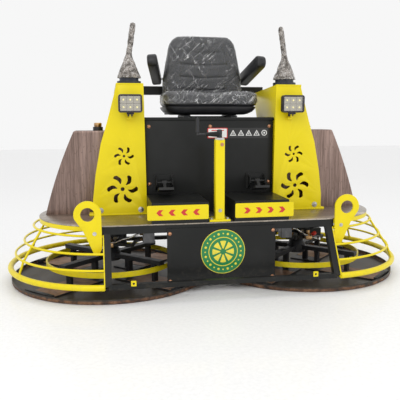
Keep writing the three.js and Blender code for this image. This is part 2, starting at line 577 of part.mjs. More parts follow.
const skids = [-1, 1].map((way) => box(SEAT_X + way * RAIL[2] - RAIL[0] / 2 - 5,
  SEAT_X + way * RAIL[2] + RAIL[0] / 2 + 5, 0, 150, railTop + GAP, SHELL_Z + 1));
const armPins = [-1, 1].map((way) => bar([SEAT_X + way * 180, armY, armZ0],
  [SEAT_X + way * (armX + 24), armY, armZ0], 6, 16));
node('seat_shell', join(seatPan, backPan, backFoot, ...skids, ...armPins), BLACK);

const padEdge = (shape, y0, y1, r) => solid(new THREE.ExtrudeGeometry(outline(shape), {
  depth: y1 - y0 - 2 * r, bevelEnabled: true, bevelThickness: r, bevelSize: r, bevelOffset: -r,
  bevelSegments: 1, curveSegments: 2 }).rotateX(Math.PI / 2).translate(0, y1 - r, 0));
const cushion = solid(new THREE.ExtrudeGeometry(roundRect(SEAT_X - seatHalf, SEAT_X + seatHalf,
  -SEAT_FRONT, SEAT_BACK - 6, 46), { depth: CUSHION_HIGH - SEAT_PAD_R, bevelEnabled: true,
  bevelThickness: SEAT_PAD_R / 2, bevelSize: SEAT_PAD_R / 2, bevelOffset: -SEAT_PAD_R / 2,
  bevelSegments: 2, curveSegments: 3 }).translate(0, 0, cushionLow + SEAT_PAD_R / 2));
node('seat_cushion', cushion, VINYL);
node('seat_backrest', padEdge(backShape(0), SEAT_BACK, SEAT_BACK + BACK_THICK, 14), VINYL);

function armrest(way) {
  const start = new THREE.Matrix4().makeTranslation(SEAT_X + way * (armX + 14),
    armY, armZ0);
  const place = start.multiply(new THREE.Matrix4().makeRotationX(-ARMREST_UP * Math.PI / 180))
    .multiply(new THREE.Matrix4().makeRotationZ(way * ARMREST_SPLAY * Math.PI / 180));
  const pad = solid(new THREE.ExtrudeGeometry(roundRect(-ARMREST[2] - 18, 18, -ARMREST[1] / 2,
    ARMREST[1] / 2, 17), { depth: ARMREST[0] - 12, bevelEnabled: true, bevelThickness: 6,
    bevelSize: 6, bevelOffset: -6, bevelSegments: 1, curveSegments: 2 })
    .rotateX(Math.PI / 2).rotateZ(Math.PI / 2).translate(-ARMREST[0] / 2 + 6, 0, 0));
  return cut(move(pad, place), bar([SEAT_X + way * 190, armY, armZ0],
    [SEAT_X + way * (armX + 50), armY, armZ0], 7, 20));
}
node('armrest_right', armrest(1), VINYL);
node('armrest_left', armrest(-1), VINYL);

// ---- Joysticks -----------------------------------------------------------------------------------
const stickFloor = alongX([[-400, topAt(-400) + GAP], [400, topAt(400) + GAP], [400, 0], [-400, 0]],
  STICK_X - 200, STICK_X + 200);
function stickBase(pinAlongX) {
  const plate = disc(STICK_FLANGE, TOWER_TOP - 10, TOWER_TOP + 14, STICK_X, STICK_Y, 24);
  const cup = disc(CUP[1], TOWER_TOP, STICK_Z + 8, STICK_X, STICK_Y, 16);
  const hollow = disc(CUP[0], TOWER_TOP + 4, STICK_Z + 20, STICK_X, STICK_Y, 16);
  const reach = CUP[1] + 2;
  const bores = pinAlongX ? bar([STICK_X - reach, STICK_Y, STICK_Z], [STICK_X + reach, STICK_Y, STICK_Z],
    4.6, 8) : [];
  return cut(join(plate, cup), stickFloor, hollow, bores);
}
const pinX = (r, half) => bar([STICK_X - half, STICK_Y, STICK_Z], [STICK_X + half, STICK_Y, STICK_Z], r, 8);
const pinY = (r, half) => bar([STICK_X, STICK_Y - half, STICK_Z], [STICK_X, STICK_Y + half, STICK_Z], r, 8);
const lean = new THREE.Matrix4().makeTranslation(STICK_X, 0, LEAN_Z)
  .multiply(new THREE.Matrix4().makeRotationY(-LEAN * Math.PI / 180))
  .multiply(new THREE.Matrix4().makeTranslation(-STICK_X, 0, -LEAN_Z));
function lever(pin) {
  const [r, long, top] = LEVER_GRIP;
  const bent = join(disc(LEVER_R, LEAN_Z - 2, top - long + 2, STICK_X, STICK_Y, 10),
    lathe([[0, top - long], [r - 2, top - long], [r, top - long + 6], [r, top - 6], [r - 4, top], [0, top]],
      STICK_X, STICK_Y, 12));
  return join(disc(LEVER_R, STICK_Z - 8, LEAN_Z + 2, STICK_X, STICK_Y, 10), move(bent, lean),
    disc(8.5, STICK_Z - 8, STICK_Z + 8, STICK_X, STICK_Y, 12), pin);
}
pair('joystick_base', stickBase(true), BLACK);
node('joystick_lever_left', flip(lever(pinX(4, CUP[1] - 1))), CAST);
node('joystick_lever_right', lever(pinY(3.4, GIMBAL[1] - 1)), CAST);
const gimbalRing = cut(disc(GIMBAL[1], STICK_Z - GIMBAL[2], STICK_Z + GIMBAL[2], STICK_X, STICK_Y, 14),
  disc(GIMBAL[0], STICK_Z - 20, STICK_Z + 20, STICK_X, STICK_Y, 14));
const gimbal = cut(join(gimbalRing, cut(pinX(4, CUP[1] - 1), pinX(6, GIMBAL[0] + 1))), pinY(4, 40));
node('joystick_gimbal_right', gimbal, ZINC);
function wrap() {
  const closed = (points) => lathe([[0, points[0][1]], ...points, [0, points.at(-1)[1]]],
    STICK_X, STICK_Y, 16);
  const film = (grow) => {
    const skin = WRAP.map(([r, z]) => [r + grow, z]);
    const bend = skin.findIndex(([, z]) => z >= LEAN_Z);
    const [tip, top] = skin.at(-1);
    const sleeve = [[skin[bend][0], LEAN_Z], ...skin.slice(bend), [tip - 4, top + 4 + grow]];
    return join(closed([[skin[0][0], skin[0][1] + Math.min(grow, 0)], ...skin.slice(0, bend),
      [skin[bend][0], LEAN_Z + 4]]), move(closed(sleeve), lean));
  };
  return cut(film(0), film(-WRAP_T));
}
pair('joystick_wrap', wrap(), FILM);

// ---- Foot pedals ---------------------------------------------------------------------------------
const pedalZ = stepTop + 62;
const pedalY = -HOOD_FRONT - 34;
const mountBack = -HOOD_FRONT - GAP;
const mountPlate = box(PEDAL_X - 50, PEDAL_X + 50, mountBack - 5, mountBack, stepTop + 20, stepTop + 98);
const cheekShape = [[mountBack - 4, stepTop + 22], [pedalY - 12, pedalZ - 12], [pedalY - 12, pedalZ + 10],
  [mountBack - 4, stepTop + 96]];
const cheeks = [-1, 1].map((way) => cut(alongX(cheekShape, PEDAL_X + way * 38 - 3, PEDAL_X + way * 38 + 3),
bar([PEDAL_X + way * 46, pedalY, pedalZ], [PEDAL_X + way * 30, pedalY, pedalZ], PEDAL_PIN_R + 0.5, 16)));
pair('pedal_mount', join(mountPlate, ...cheeks), BLACK);
const padLow = stepTop + 10;
const pedalArm = squareBar([PEDAL_X, pedalY, pedalZ], [PEDAL_X, pedalY - 40, padLow + 22], 14, 12);
const pedalPad = squareBar([PEDAL_X, pedalY - 6, padLow + 14],
  [PEDAL_X, pedalY - 6 - PEDAL_PAD[2], padLow + 34], PEDAL_PAD[0], PEDAL_PAD[1]);
pair('pedal', join(pedalArm, pedalPad,
  bar([PEDAL_X - 40, pedalY, pedalZ], [PEDAL_X + 40, pedalY, pedalZ], PEDAL_PIN_R, 16),
  bar([PEDAL_X - 12, pedalY, pedalZ], [PEDAL_X + 12, pedalY, pedalZ], 11, 16)), ZINC);

// ---- Gearboxes, yoke and rotors --------------------------------------------------------------------
const gearTop = GEARBOX_Z + GEARBOX[2];
function gearbox(pinReach, alongYAxis) {
  const body = alongZ(roundRect(ROTOR_X - GEARBOX[0] / 2, ROTOR_X + GEARBOX[0] / 2, -GEARBOX[1] / 2,
    GEARBOX[1] / 2, 24), GEARBOX_Z, gearTop);
  const nose = disc(34, GEARBOX_Z - 14, GEARBOX_Z + 1, ROTOR_X, 0, 28);
  const pin = alongYAxis
    ? bar([ROTOR_X, -pinReach, trunnionZ], [ROTOR_X, pinReach, trunnionZ], TRUNNION_R, 14)
    : bar([ROTOR_X - pinReach, 0, trunnionZ], [ROTOR_X + pinReach, 0, trunnionZ], TRUNNION_R, 14);
  return join(body, nose, pin);
}
node('gearbox_left', flip(gearbox(hangerY + HANGER_T - 2, true)), CAST);
node('gearbox_right', gearbox(GEARBOX[0] / 2 + YOKE_ROOM + YOKE_BAR - 2, false), CAST);
function yoke() {
  const half = GEARBOX[0] / 2 + YOKE_ROOM;
  const frame = cut(box(ROTOR_X - half - YOKE_BAR, ROTOR_X + half + YOKE_BAR, -trunnionY, trunnionY,
    trunnionZ - 20, trunnionZ + 20),
  box(ROTOR_X - half, ROTOR_X + half, -half, half, trunnionZ - 30, trunnionZ + 30),
  bar([ROTOR_X - half - 40, 0, trunnionZ], [ROTOR_X + half + 40, 0, trunnionZ], TRUNNION_R + RUN, 14));
  const pins = [-1, 1].map((way) => bar([ROTOR_X, way * (trunnionY - 2), trunnionZ],
    [ROTOR_X, way * (hangerY + HANGER_T - 2), trunnionZ], TRUNNION_R, 14));
  return join(frame, ...pins);
}
node('tilt_yoke_right', yoke(), BLACK);
pair('hydraulic_motor', join(disc(MOTOR_R, gearTop + GAP, gearTop + GAP + MOTOR_HIGH, ROTOR_X, 0, 24),
  box(ROTOR_X - 20, ROTOR_X + 20, -MOTOR_R - 16, 0, gearTop + 14, gearTop + 44)), ZINC);

const hubTop = GEARBOX_Z - 14 - RUN;
const armLow = RING_LOW + RING_BAND[0] + GAP;
const armOut = RING_R + 4;
const bladeLow = PAN_SHEET + GAP;
function spider() {
  const hub = lathe([[0, armLow - 16], [HUB_R, armLow - 16], [HUB_R, armLow + ARM_HIGH + 4], [34, hubTop],
    [0, hubTop]], 0, 0, 28);
  const arms = around(4, (angle) => {
    const arm = box(0, armOut, -ARM_WIDTH / 2, ARM_WIDTH / 2, armLow, armLow + ARM_HIGH);
    const leg = (r) => box(r - 9, r + 9, -14, 14, bladeLow + SHOE[1] - 1, armLow + 1);
    const shoe = box(HUB_R + 40, PAN_R - 40, -SHOE[0] / 2, SHOE[0] / 2, bladeLow, bladeLow + SHOE[1]);
    return turnZ(join(arm, leg(HUB_R + 74), leg(RING_R - 40), shoe), angle + Math.PI / 4);
  });
  return turnZ(join(hub, ...arms), 0, ROTOR_X);
}
pair('rotor_spider', spider(), CAST);
pair('stabiliser_ring', lathe([[RING_R, RING_LOW], [RING_R, RING_LOW + RING_BAND[0]],
  [RING_R - RING_BAND[1], RING_LOW + RING_BAND[0]], [RING_R - RING_BAND[1], RING_LOW], [RING_R, RING_LOW]],
ROTOR_X, 0, 48), YELLOW);

function pan() {
  const clip = (angle) => turnZ(box(PAN_R - 36, PAN_R - 16, -SHOE[0] / 2 - 14, SHOE[0] / 2 + 14,
    PAN_SHEET - 1, PAN_SHEET + 20), angle + Math.PI / 4, ROTOR_X);
  return join(lathe([[0, 0], [PAN_R - PAN_DISH, 0], [PAN_R, PAN_DISH], [PAN_R, PAN_LIP],
    [PAN_R - PAN_SHEET, PAN_LIP], [PAN_R - PAN_SHEET, PAN_DISH + 2], [PAN_R - PAN_DISH - 2, PAN_SHEET],
    [0, PAN_SHEET]], ROTOR_X, 0, 56), ...around(4, clip));
}
pair('float_pan', pan(), RUST);

export default machine;
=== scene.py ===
"""Ride-on power trowel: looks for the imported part. Metres, +Z up, the front faces -Y."""

import json
import math

import bmesh
import bpy
from bpy.props import FloatProperty, FloatVectorProperty, IntProperty, PointerProperty
from mathutils import Matrix, Vector, noise

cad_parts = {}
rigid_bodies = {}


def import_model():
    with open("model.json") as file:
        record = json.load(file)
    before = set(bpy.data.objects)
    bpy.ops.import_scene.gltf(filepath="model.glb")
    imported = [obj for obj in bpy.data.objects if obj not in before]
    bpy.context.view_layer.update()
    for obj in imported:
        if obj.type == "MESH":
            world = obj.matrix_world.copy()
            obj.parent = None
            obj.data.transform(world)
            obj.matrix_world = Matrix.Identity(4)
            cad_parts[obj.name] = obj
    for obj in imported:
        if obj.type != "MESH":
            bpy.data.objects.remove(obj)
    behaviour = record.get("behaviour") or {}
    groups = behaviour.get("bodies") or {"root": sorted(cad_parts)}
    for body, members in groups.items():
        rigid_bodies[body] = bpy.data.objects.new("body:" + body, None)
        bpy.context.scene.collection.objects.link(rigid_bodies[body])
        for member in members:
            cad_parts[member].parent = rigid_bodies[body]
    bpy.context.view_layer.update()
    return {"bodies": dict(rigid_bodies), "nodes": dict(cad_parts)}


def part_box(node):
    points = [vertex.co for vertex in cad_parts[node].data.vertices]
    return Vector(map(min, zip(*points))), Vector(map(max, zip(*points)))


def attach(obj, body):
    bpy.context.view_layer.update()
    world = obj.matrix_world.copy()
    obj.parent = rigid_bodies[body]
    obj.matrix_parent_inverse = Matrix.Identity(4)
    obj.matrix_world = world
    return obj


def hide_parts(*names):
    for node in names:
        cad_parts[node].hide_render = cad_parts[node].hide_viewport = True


bl_info = {
    "name": "Power trowel",
    "version": (1, 0, 0),
    "blender": (4, 5, 0),
    "location": "View3D > Sidebar > Trowel",
    "description": "Builds the ride-on power trowel's pieces, materials and studio round the packed part",
    "category": "Object",
}

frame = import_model()


# ---- Sizes and colours -------------------------------------------------------------------------
def length(name, text, default):
    return FloatProperty(name=name, description=text, default=default, unit="LENGTH")


def colour(name, text, default):
    return FloatVectorProperty(name=name, description=text, default=default, size=3, min=0, max=1,
                               subtype="COLOR")


class TrowelSizes(bpy.types.PropertyGroup):
    rotor_x: length("Rotor", "Rotor axis from the centre plane", 0.490)
    deck_z: length("Deck height", "Upper face of the deck", 0.321)
    deck_r: length("Deck end", "Radius of the deck's ends", 0.350)
    deck_front: length("Deck front", "Deck's front edge from the rotor axes", 0.376)
    sheet: length("Sheet", "Thickness of the towers' sheet", 0.005)
    bolt: length("Bolt head", "Radius of the bolts' heads", 0.0066)
    ring_tube: length("Guard ring", "Radius of the guard ring's tube", 0.0135)
    rod: length("Guard rod", "Radius of the guard's rods", 0.0055)
    seam: length("Seam", "Depth of the seat's seams", 0.006)
    swell: length("Swell", "Greatest movement of the cushions' cover", 0.009)
    film: length("Film crease", "Depth of the packing film's creases", 0.0045)
    edge: length("Edge", "Rounding of the sheet metal's edges", 0.0012)
    cells: IntProperty(name="Lamp cells", description="Reflector cells across a lamp", default=3)


class TrowelColours(bpy.types.PropertyGroup):
    yellow: colour("Yellow", "Yellow paint", (0.84, 0.68, 0.006))
    black: colour("Black", "Black paint", (0.013, 0.0135, 0.013))
    deck: colour("Deck steel", "Bare steel of the deck", (0.52, 0.46, 0.39))
    tank: colour("Tank steel", "Bare steel of the tanks", (0.335, 0.235, 0.20))
    zinc: colour("Zinc", "Zinc plate", (0.62, 0.62, 0.62))
    brass: colour("Brass", "Brass caps and bolts", (0.62, 0.38, 0.18))
    rust: colour("Rust", "Rust on the pans' rims", (0.13, 0.055, 0.025))
    vinyl: colour("Vinyl", "Seat cover", (0.010, 0.0105, 0.013))
    red: colour("Red", "Red of the plates' marks", (0.62, 0.03, 0.02))
    green: colour("Green", "Green of the badge", (0.01, 0.22, 0.06))
    white: colour("White", "White plates", (0.80, 0.80, 0.78))


def sizes():
    return bpy.context.scene.trowel_sizes


def colours():
    return bpy.context.scene.trowel_colours


# ---- Shaders -----------------------------------------------------------------------------------
class Sock:
    """One output of a shader node that adds, multiplies and compares like a number."""

    def __init__(self, shader, out):
        self.shader, self.out = shader, out

    def math(self, kind, *others, clamp=False):
        return self.shader.node("ShaderNodeMath", {"operation": kind, "use_clamp": clamp},
                                {i: v for i, v in enumerate((self, *others))})

    def __add__(self, o): return self.math("ADD", o)
    def __radd__(self, o): return self.math("ADD", o)
    def __sub__(self, o): return self.math("SUBTRACT", o)
    def __mul__(self, o): return self.math("MULTIPLY", o)
    def __rmul__(self, o): return self.math("MULTIPLY", o)
    def __truediv__(self, o): return self.math("DIVIDE", o)
    def __rsub__(self, o): return (self * -1.0) + o

    def clamp(self): return self.math("ADD", 0.0, clamp=True)

    def step(self, low, high):
        """0 below low, 1 above high and smooth between."""
        return self.shader.node("ShaderNodeMapRange", {"interpolation_type": "SMOOTHSTEP"},
                                {"Value": self, "From Min": low, "From Max": high})


class Shader:
    """A material on Object coordinates; its own constants are set on the Principled shader's sockets."""

    def __init__(self, name, **constants):
        self.material = bpy.data.materials.new(name)
        self.material.use_nodes = True
        self.nodes = self.material.node_tree.nodes
        self.links = self.material.node_tree.links
        self.surface = next(n for n in self.nodes if n.type == "BSDF_PRINCIPLED")
        for key, value in constants.items():
            title = key.replace("_", " ").title().replace("Ior", "IOR")
            if isinstance(value, (tuple, list)) or hasattr(value, "r"):
                value = (*value, 1.0) if len(value) == 3 else value
            self.surface.inputs[title].default_value = value
        self.place = self.node("ShaderNodeTexCoord", {}, {}, "Object")

    def node(self, kind, settings, inputs, out=0):
        made = self.nodes.new(kind)
        for key, value in settings.items():
            setattr(made, key, value)
        for key, value in inputs.items():
            socket = made.inputs[key]
            if isinstance(value, Sock):
                self.links.new(value.out, socket)
            elif hasattr(value, "__len__") and len(value) == 3 and socket.type == "RGBA":
                socket.default_value = (*value, 1.0)
            else:
                socket.default_value = value
        return Sock(self, made.outputs[out])

    def at(self, scale=(1, 1, 1), turn=(0, 0, 0)):
        turned_place = self.node("ShaderNodeMapping", {}, {"Vector": self.place, "Rotation": turn})
        return self.node("ShaderNodeMapping", {}, {"Vector": turned_place, "Scale": scale})

    def noise(self, size, detail=3.0, rough=0.55, scale=(1, 1, 1), turn=(0, 0, 0)):
        return self.node("ShaderNodeTexNoise", {}, {"Vector": self.at(scale, turn), "Scale": size,
                                                    "Detail": detail, "Roughness": rough}, "Fac")

    def cells(self, size, feature="F1", scale=(1, 1, 1)):
        return self.node("ShaderNodeTexVoronoi", {"feature": feature},
                         {"Vector": self.at(scale), "Scale": size}, "Distance")

    def axis(self, letter):
        return self.node("ShaderNodeSeparateXYZ", {}, {"Vector": self.place}, letter)

    def mix(self, factor, a, b):
        return self.node("ShaderNodeMix", {"data_type": "RGBA"}, {"Factor": factor, 6: a, 7: b}, 2)

    def feed(self, **varying):
        for key, value in varying.items():
            self.links.new(value.out, self.surface.inputs[key.replace("_", " ").title()])

    def bump(self, height, distance, strength=1.0):
        made = self.node("ShaderNodeBump", {}, {"Height": height, "Distance": distance, "Strength": strength})
        self.links.new(made.out, self.surface.inputs["Normal"])


MATERIALS = {}


def material(name):
    """The named material, made the first time it is asked for."""
    if name not in MATERIALS:
        MATERIALS[name] = MAKERS[name](name)
    return MATERIALS[name]


def painted(name):
    """Glossy sprayed paint: orange peel, thin dust and faint clouding."""
    dark = name == "black_paint"
    base = colours().black if dark else colours().yellow
    s = Shader(name, specular_ior_level=0.2 if dark else 0.3, coat_weight=0.04, coat_roughness=0.1)
    cloud = s.noise(5.0, 4.0)
    fine = s.noise(42.0, 4.0)
    base = tuple(base)
    worn = tuple(c * (1.5 if dark else 0.90) for c in base)
    dust = s.axis("Z").step(0.16, 0.04) * fine.step(0.48, 0.70) * (0.10 if dark else 0.18)
    tint = s.mix((cloud.step(0.42, 0.75) * (0.8 if dark else 0.5)), base, worn)
    s.feed(base_color=s.mix(dust, tint, (0.22, 0.18, 0.13)),
           roughness=cloud * 0.16 + fine * 0.08 + (0.25 if dark else 0.22) + dust * 0.8)
    s.bump(s.noise(260.0, 2.0) * 0.6 + fine * 0.4, 0.00035, 0.35)
    return s.material


def brushed(name):
    """Bare sheet steel with scratches and stains. Its dark streaks and pale patches, up and down on the tanks
    and across the deck, are partly rolling grain and partly painted reflection.
    """
    deck = name == "deck_steel"
    base = tuple(colours().deck if deck else colours().tank)
    s = Shader(name, metallic=1.0, roughness=0.3, coat_weight=0.12, coat_roughness=0.1)
    along = (2.2, 60.0, 60.0) if deck else (46.0, 46.0, 1.3)
    streak = s.noise(3.4, 6.0, 0.7, scale=along)
    broad = s.noise(2.1, 5.0, 0.6, scale=(1, 3, 3) if deck else (9.0, 9.0, 0.5))
    scratch = s.cells(16.0, "DISTANCE_TO_EDGE", scale=(1.2, 9.0, 1.0) if deck else (7.0, 7.0, 0.7))
    mark = 1.0 - scratch.step(0.0, 0.045)
    dark = tuple(c * 0.42 for c in base)
    pale_sheen = tuple(min(1.0, c * (1.6 if deck else 1.35) + 0.05) for c in base)
    # Dark streaks and pale patches painted into the colour: partly the steel's grain, partly painted
    # reflection.
    tone = s.mix(streak.step(0.3, 0.72), dark, base)
    tone = s.mix(broad.step(0.5, 0.8) * (0.85 if deck else 0.6), tone, pale_sheen)
    s.feed(base_color=s.mix(mark * 0.35, tone, (0.10, 0.075, 0.055)),
           roughness=(streak * 0.22 + broad * 0.16 + mark * 0.2 + (0.17 if deck else 0.16)))
    s.bump(streak * 0.7 + mark * -0.5, 0.0006, 0.4)
    return s.material


def plated(name):
    """Small metal parts: plated, cast or machined."""
    base, metal, rough, grain, size = {
        "zinc": (colours().zinc, 1.0, 0.28, 0.0001, 300.0),
        "brass": (colours().brass, 1.0, 0.30, 0.0001, 260.0),
        "cast_metal": ((0.035, 0.036, 0.040), 0.5, 0.52, 0.0009, 170.0),
        "engine_alloy": ((0.16, 0.16, 0.165), 0.9, 0.45, 0.0008, 150.0),
        "lamp_alloy": ((0.035, 0.030, 0.045), 0.3, 0.4, 0.0003, 220.0),
        "shiny_steel": ((0.70, 0.70, 0.70), 1.0, 0.16, 0.0001, 200.0),
        "blade_rust": ((0.27, 0.145, 0.08), 0.2, 0.6, 0.0008, 90.0),
    }[name]
    s = Shader(name, metallic=metal, coat_weight=0.1)
    cloud = s.noise(26.0, 5.0)
    base = tuple(base)
    s.feed(base_color=s.mix(cloud.step(0.35, 0.75), base, tuple(c * 0.62 for c in base)),
           roughness=cloud * 0.24 + (rough - 0.1))
    s.bump(s.noise(size, 3.0), grain, 0.5)
    return s.material


def pan_steel(name):
    """Dark steel pan: black on top, brown and flaking towards the rim."""
    s = Shader(name, coat_weight=0.05)
    flake = s.noise(34.0, 7.0, 0.65)
    broad = s.noise(7.0, 4.0)
    x, y = s.axis("X").math("ABSOLUTE") - 0.49, s.axis("Y")
    rim = (x * x + y * y).math("SQRT").step(0.474, 0.483) * (1.0 - s.axis("Z").step(0.010, 0.021))
    rust = ((rim * 0.85 + broad * 0.5 - 0.30).step(0.12, 0.55) * flake.step(0.34, 0.56)).clamp()
    tone = s.mix(flake.step(0.35, 0.85), (0.026, 0.022, 0.019), (0.085, 0.066, 0.052))
    red = s.mix(flake.step(0.45, 0.7), tuple(colours().rust), (0.24, 0.13, 0.07))
    s.feed(base_color=s.mix(rust, tone, red), metallic=0.35 - rust * 0.3,
           roughness=rust * 0.35 + flake * 0.25 + 0.32)
    s.bump(flake * 0.6 + rust * 0.8, 0.0016, 0.6)
    return s.material


def vinyl(name):
    """Smooth black seat vinyl with a fine pebble."""
    s = Shader(name, specular_ior_level=0.5, coat_weight=0.25, coat_roughness=0.2)
    pebble = s.cells(620.0)
    cloud = s.noise(9.0, 3.0)
    base = tuple(colours().vinyl)
    s.feed(base_color=s.mix(cloud.step(0.4, 0.8), base, tuple(c * 1.7 + 0.004 for c in base)),
           roughness=cloud * 0.22 + pebble * 0.06 + 0.28)
    s.bump(pebble * -0.3 + s.noise(60.0, 3.0) * 0.3, 0.0003, 0.3)
    return s.material


def moulded(name):
    """Moulded black plastic and rubber."""
    base, rough = {"black_plastic": ((0.014, 0.014, 0.016), 0.42), "rubber": ((0.012, 0.012, 0.012), 0.62),
                   "boot": ((0.16, 0.145, 0.13), 0.55), "navy": ((0.012, 0.016, 0.030), 0.4)}[name]
    s = Shader(name)
    grain = s.noise(240.0, 3.0)
    cloud = s.noise(12.0, 3.0)
    s.feed(base_color=s.mix(cloud.step(0.35, 0.8), base, tuple(c * 1.8 + 0.004 for c in base)),
           roughness=grain * 0.16 + (rough - 0.08))
    s.bump(grain, 0.0003, 0.5)
    return s.material


def film(name):
    """Clear packing film: see-through, with white streaks and creases. On the seat film the thin white
    streaks and the white crumples low on the cushion are partly the film's own whitening and partly painted
    highlights.
    """
    seat = name == "seat_film"
    s = Shader(name, ior=1.45, specular_ior_level=0.7, coat_weight=0.35, coat_roughness=0.05)
    wave = s.noise(22.0 if seat else 48.0, 5.0, 0.6)
    if seat:
        long = s.noise(5.0, 3.0, 0.5, scale=(1.0, 1.0, 11.0), turn=(0.0, 0.72, 0.0))
        short = s.cells(30.0, "DISTANCE_TO_EDGE", scale=(1.5, 1.0, 0.8))
        # Mask that keeps the painted crumple highlights low on the cushion, below the backrest.
        low = 1.0 - s.axis("Z").step(0.88, 0.925)
        other = s.noise(6.0, 3.0, 0.5, scale=(1.0, 1.0, 9.0), turn=(0.0, -0.95, 0.0))
        # Thin white streak lines on the seat film: partly the film's whitening, partly painted highlights.
        lines = (1.0 - (long - 0.58).math("ABSOLUTE").step(0.0, 0.014)) + (
            1.0 - (other - 0.60).math("ABSOLUTE").step(0.0, 0.009))
        streak = lines * s.noise(6.0).step(0.36, 0.55)
        # White crumples along the cushion's front edge: painted highlights, partly the film's whitening.
        crumple_highlight = (1.0 - short.step(0.0, 0.035)) * wave.step(0.42, 0.62) * low
        whitening_and_highlight = (streak * 0.9 + crumple_highlight).clamp()
        alpha = (whitening_and_highlight * 0.75 + 0.03).clamp()
        tone = s.mix(whitening_and_highlight, (0.80, 0.81, 0.82), (0.95, 0.95, 0.95))
    else:
        net = s.cells(105.0, "DISTANCE_TO_EDGE", scale=(1.0, 1.0, 1.5))
        whitening_and_highlight = (1.0 - net.step(0.0, 0.12)) * wave.step(0.36, 0.62)
        alpha = (wave * 0.5 + whitening_and_highlight * 0.3 + 0.42).clamp()
        tone = s.mix(whitening_and_highlight, s.mix(wave.step(0.35, 0.65), (0.10, 0.085, 0.07), (0.34, 0.29, 0.25)),
                     (0.82, 0.80, 0.78))
    s.feed(base_color=tone, alpha=alpha, roughness=wave * 0.25 + 0.06)
    s.bump(wave * 0.7 + whitening_and_highlight * 0.5, 0.004 if seat else 0.003, 0.8)
    return s.material


def plain(name):
    """Printed plates and lamp parts."""
    base, rough, glow = {"white_plate": (colours().white, 0.4, 0.0), "red_mark": (colours().red, 0.35, 0.0),
                         "green_badge": (colours().green, 0.35, 0.0),
                         "badge_yellow": ((0.85, 0.72, 0.05), 0.35, 0.0),
                         "ink": ((0.015, 0.015, 0.015), 0.4, 0.0), "led": ((0.95, 0.86, 0.42), 0.2, 0.25),
                         "reflector": ((0.46, 0.43, 0.36), 0.3, 0.0), "floor": ((0.93, 0.93, 0.93), 0.6, 0.0),
                         "copper": ((0.60, 0.30, 0.17), 0.32, 0.0)}[name]
    metal = 1.0 if name in ("reflector", "copper") else 0.0
    s = Shader(name, coat_weight=0.2, emission_strength=glow, metallic=metal)
    cloud = s.noise(70.0, 3.0)
    base = tuple(base)
    tone = s.mix(cloud.step(0.3, 0.8), base, tuple(c * 0.93 for c in base))
    s.feed(base_color=tone, roughness=cloud * 0.1 + (rough - 0.04))
    if glow:
        s.feed(emission_color=tone)
    return s.material


def lens(name):
    """Clear lamp glass."""
    s = Shader(name, base_color=(0.9, 0.9, 0.9), roughness=0.03, ior=1.5, specular_ior_level=0.8)
    s.feed(alpha=s.noise(30.0, 2.0) * 0.05 + 0.03)
    return s.material


MAKERS = {
    **{n: painted for n in ("yellow_paint", "black_paint")},
    **{n: brushed for n in ("deck_steel", "tank_steel")},
    **{n: plated for n in ("zinc", "brass", "cast_metal", "engine_alloy", "lamp_alloy", "shiny_steel",
                             "blade_rust")},
    **{n: moulded for n in ("black_plastic", "rubber", "boot", "navy")},
    **{n: film for n in ("clear_film", "seat_film")},
    **{n: plain for n in ("white_plate", "red_mark", "green_badge", "badge_yellow", "ink", "led", "reflector",
                          "floor", "copper")},
    "pan_steel": pan_steel, "vinyl": vinyl, "lens": lens,
}


# ---- Shapes ------------------------------------------------------------------------------------
def bevelled(bm, width, segments=2, edges=None):
    if width > 0:
        bmesh.ops.bevel(bm, geom=list(edges or bm.edges), offset=width, offset_type="OFFSET",
                        segments=segments, profile=0.5, affect="EDGES", clamp_overlap=True, material=-1)
    return bm


def cube(low, high, bevel=0.0, segments=2):
    bm = bmesh.new()
    low, high = Vector(low), Vector(high)
    place = Matrix.Translation((low + high) / 2) @ Matrix.Diagonal((*(high - low), 1))
    bmesh.ops.create_cube(bm, size=1.0, matrix=place)
    return bevelled(bm, bevel, segments)


def along(a, b):
    a, b = Vector(a), Vector(b)
    turn = Vector((0, 0, 1)).rotation_difference(b - a).to_matrix().to_4x4()
    return Matrix.Translation((a + b) / 2) @ turn, (b - a).length


def rod(a, b, r, r2=None, sides=28, bevel=0.0):
    """A closed bar from a to b with radius r at a and r2 at b."""
    bm = bmesh.new()
    place, long = along(a, b)
    bmesh.ops.create_cone(bm, cap_ends=True, segments=sides, radius1=r, radius2=r if r2 is None else r2,
                          depth=long)
    rims = [e for e in bm.edges if any(len(f.verts) == sides for f in e.link_faces)]
    bevelled(bm, bevel, 2, rims)
    bm.transform(place)
    return bm


def turned(profile, place, steps=64, closed=False):
    """A turned solid: (radius, height) points about an axis, placed by a point or a matrix."""
    bm = bmesh.new()
    verts = [bm.verts.new((r, 0, z)) for r, z in profile]
    edges = [bm.edges.new(pair) for pair in zip(verts, verts[1:])]
    if closed:
        edges.append(bm.edges.new((verts[-1], verts[0])))
    bmesh.ops.spin(bm, geom=verts + edges, cent=(0, 0, 0), axis=(0, 0, 1), angle=2 * math.pi, steps=steps,
                   use_merge=True)
    bmesh.ops.remove_doubles(bm, verts=bm.verts, dist=1e-6)
    bmesh.ops.recalc_face_normals(bm, faces=bm.faces)
    bm.transform(place if isinstance(place, Matrix) else Matrix.Translation(place))
    return bm


def from_curve(curve):
    ob = bpy.data.objects.new("outline", curve)
    bpy.context.scene.collection.objects.link(ob)
    graph = bpy.context.evaluated_depsgraph_get()
    me = bpy.data.meshes.new_from_object(ob.evaluated_get(graph))
    bm = bmesh.new()
    bm.from_mesh(me)
    bmesh.ops.remove_doubles(bm, verts=bm.verts, dist=1e-6)
    bmesh.ops.recalc_face_normals(bm, faces=bm.faces)
    bpy.data.objects.remove(ob)
    bpy.data.meshes.remove(me)
    bpy.data.curves.remove(curve)
    return bm


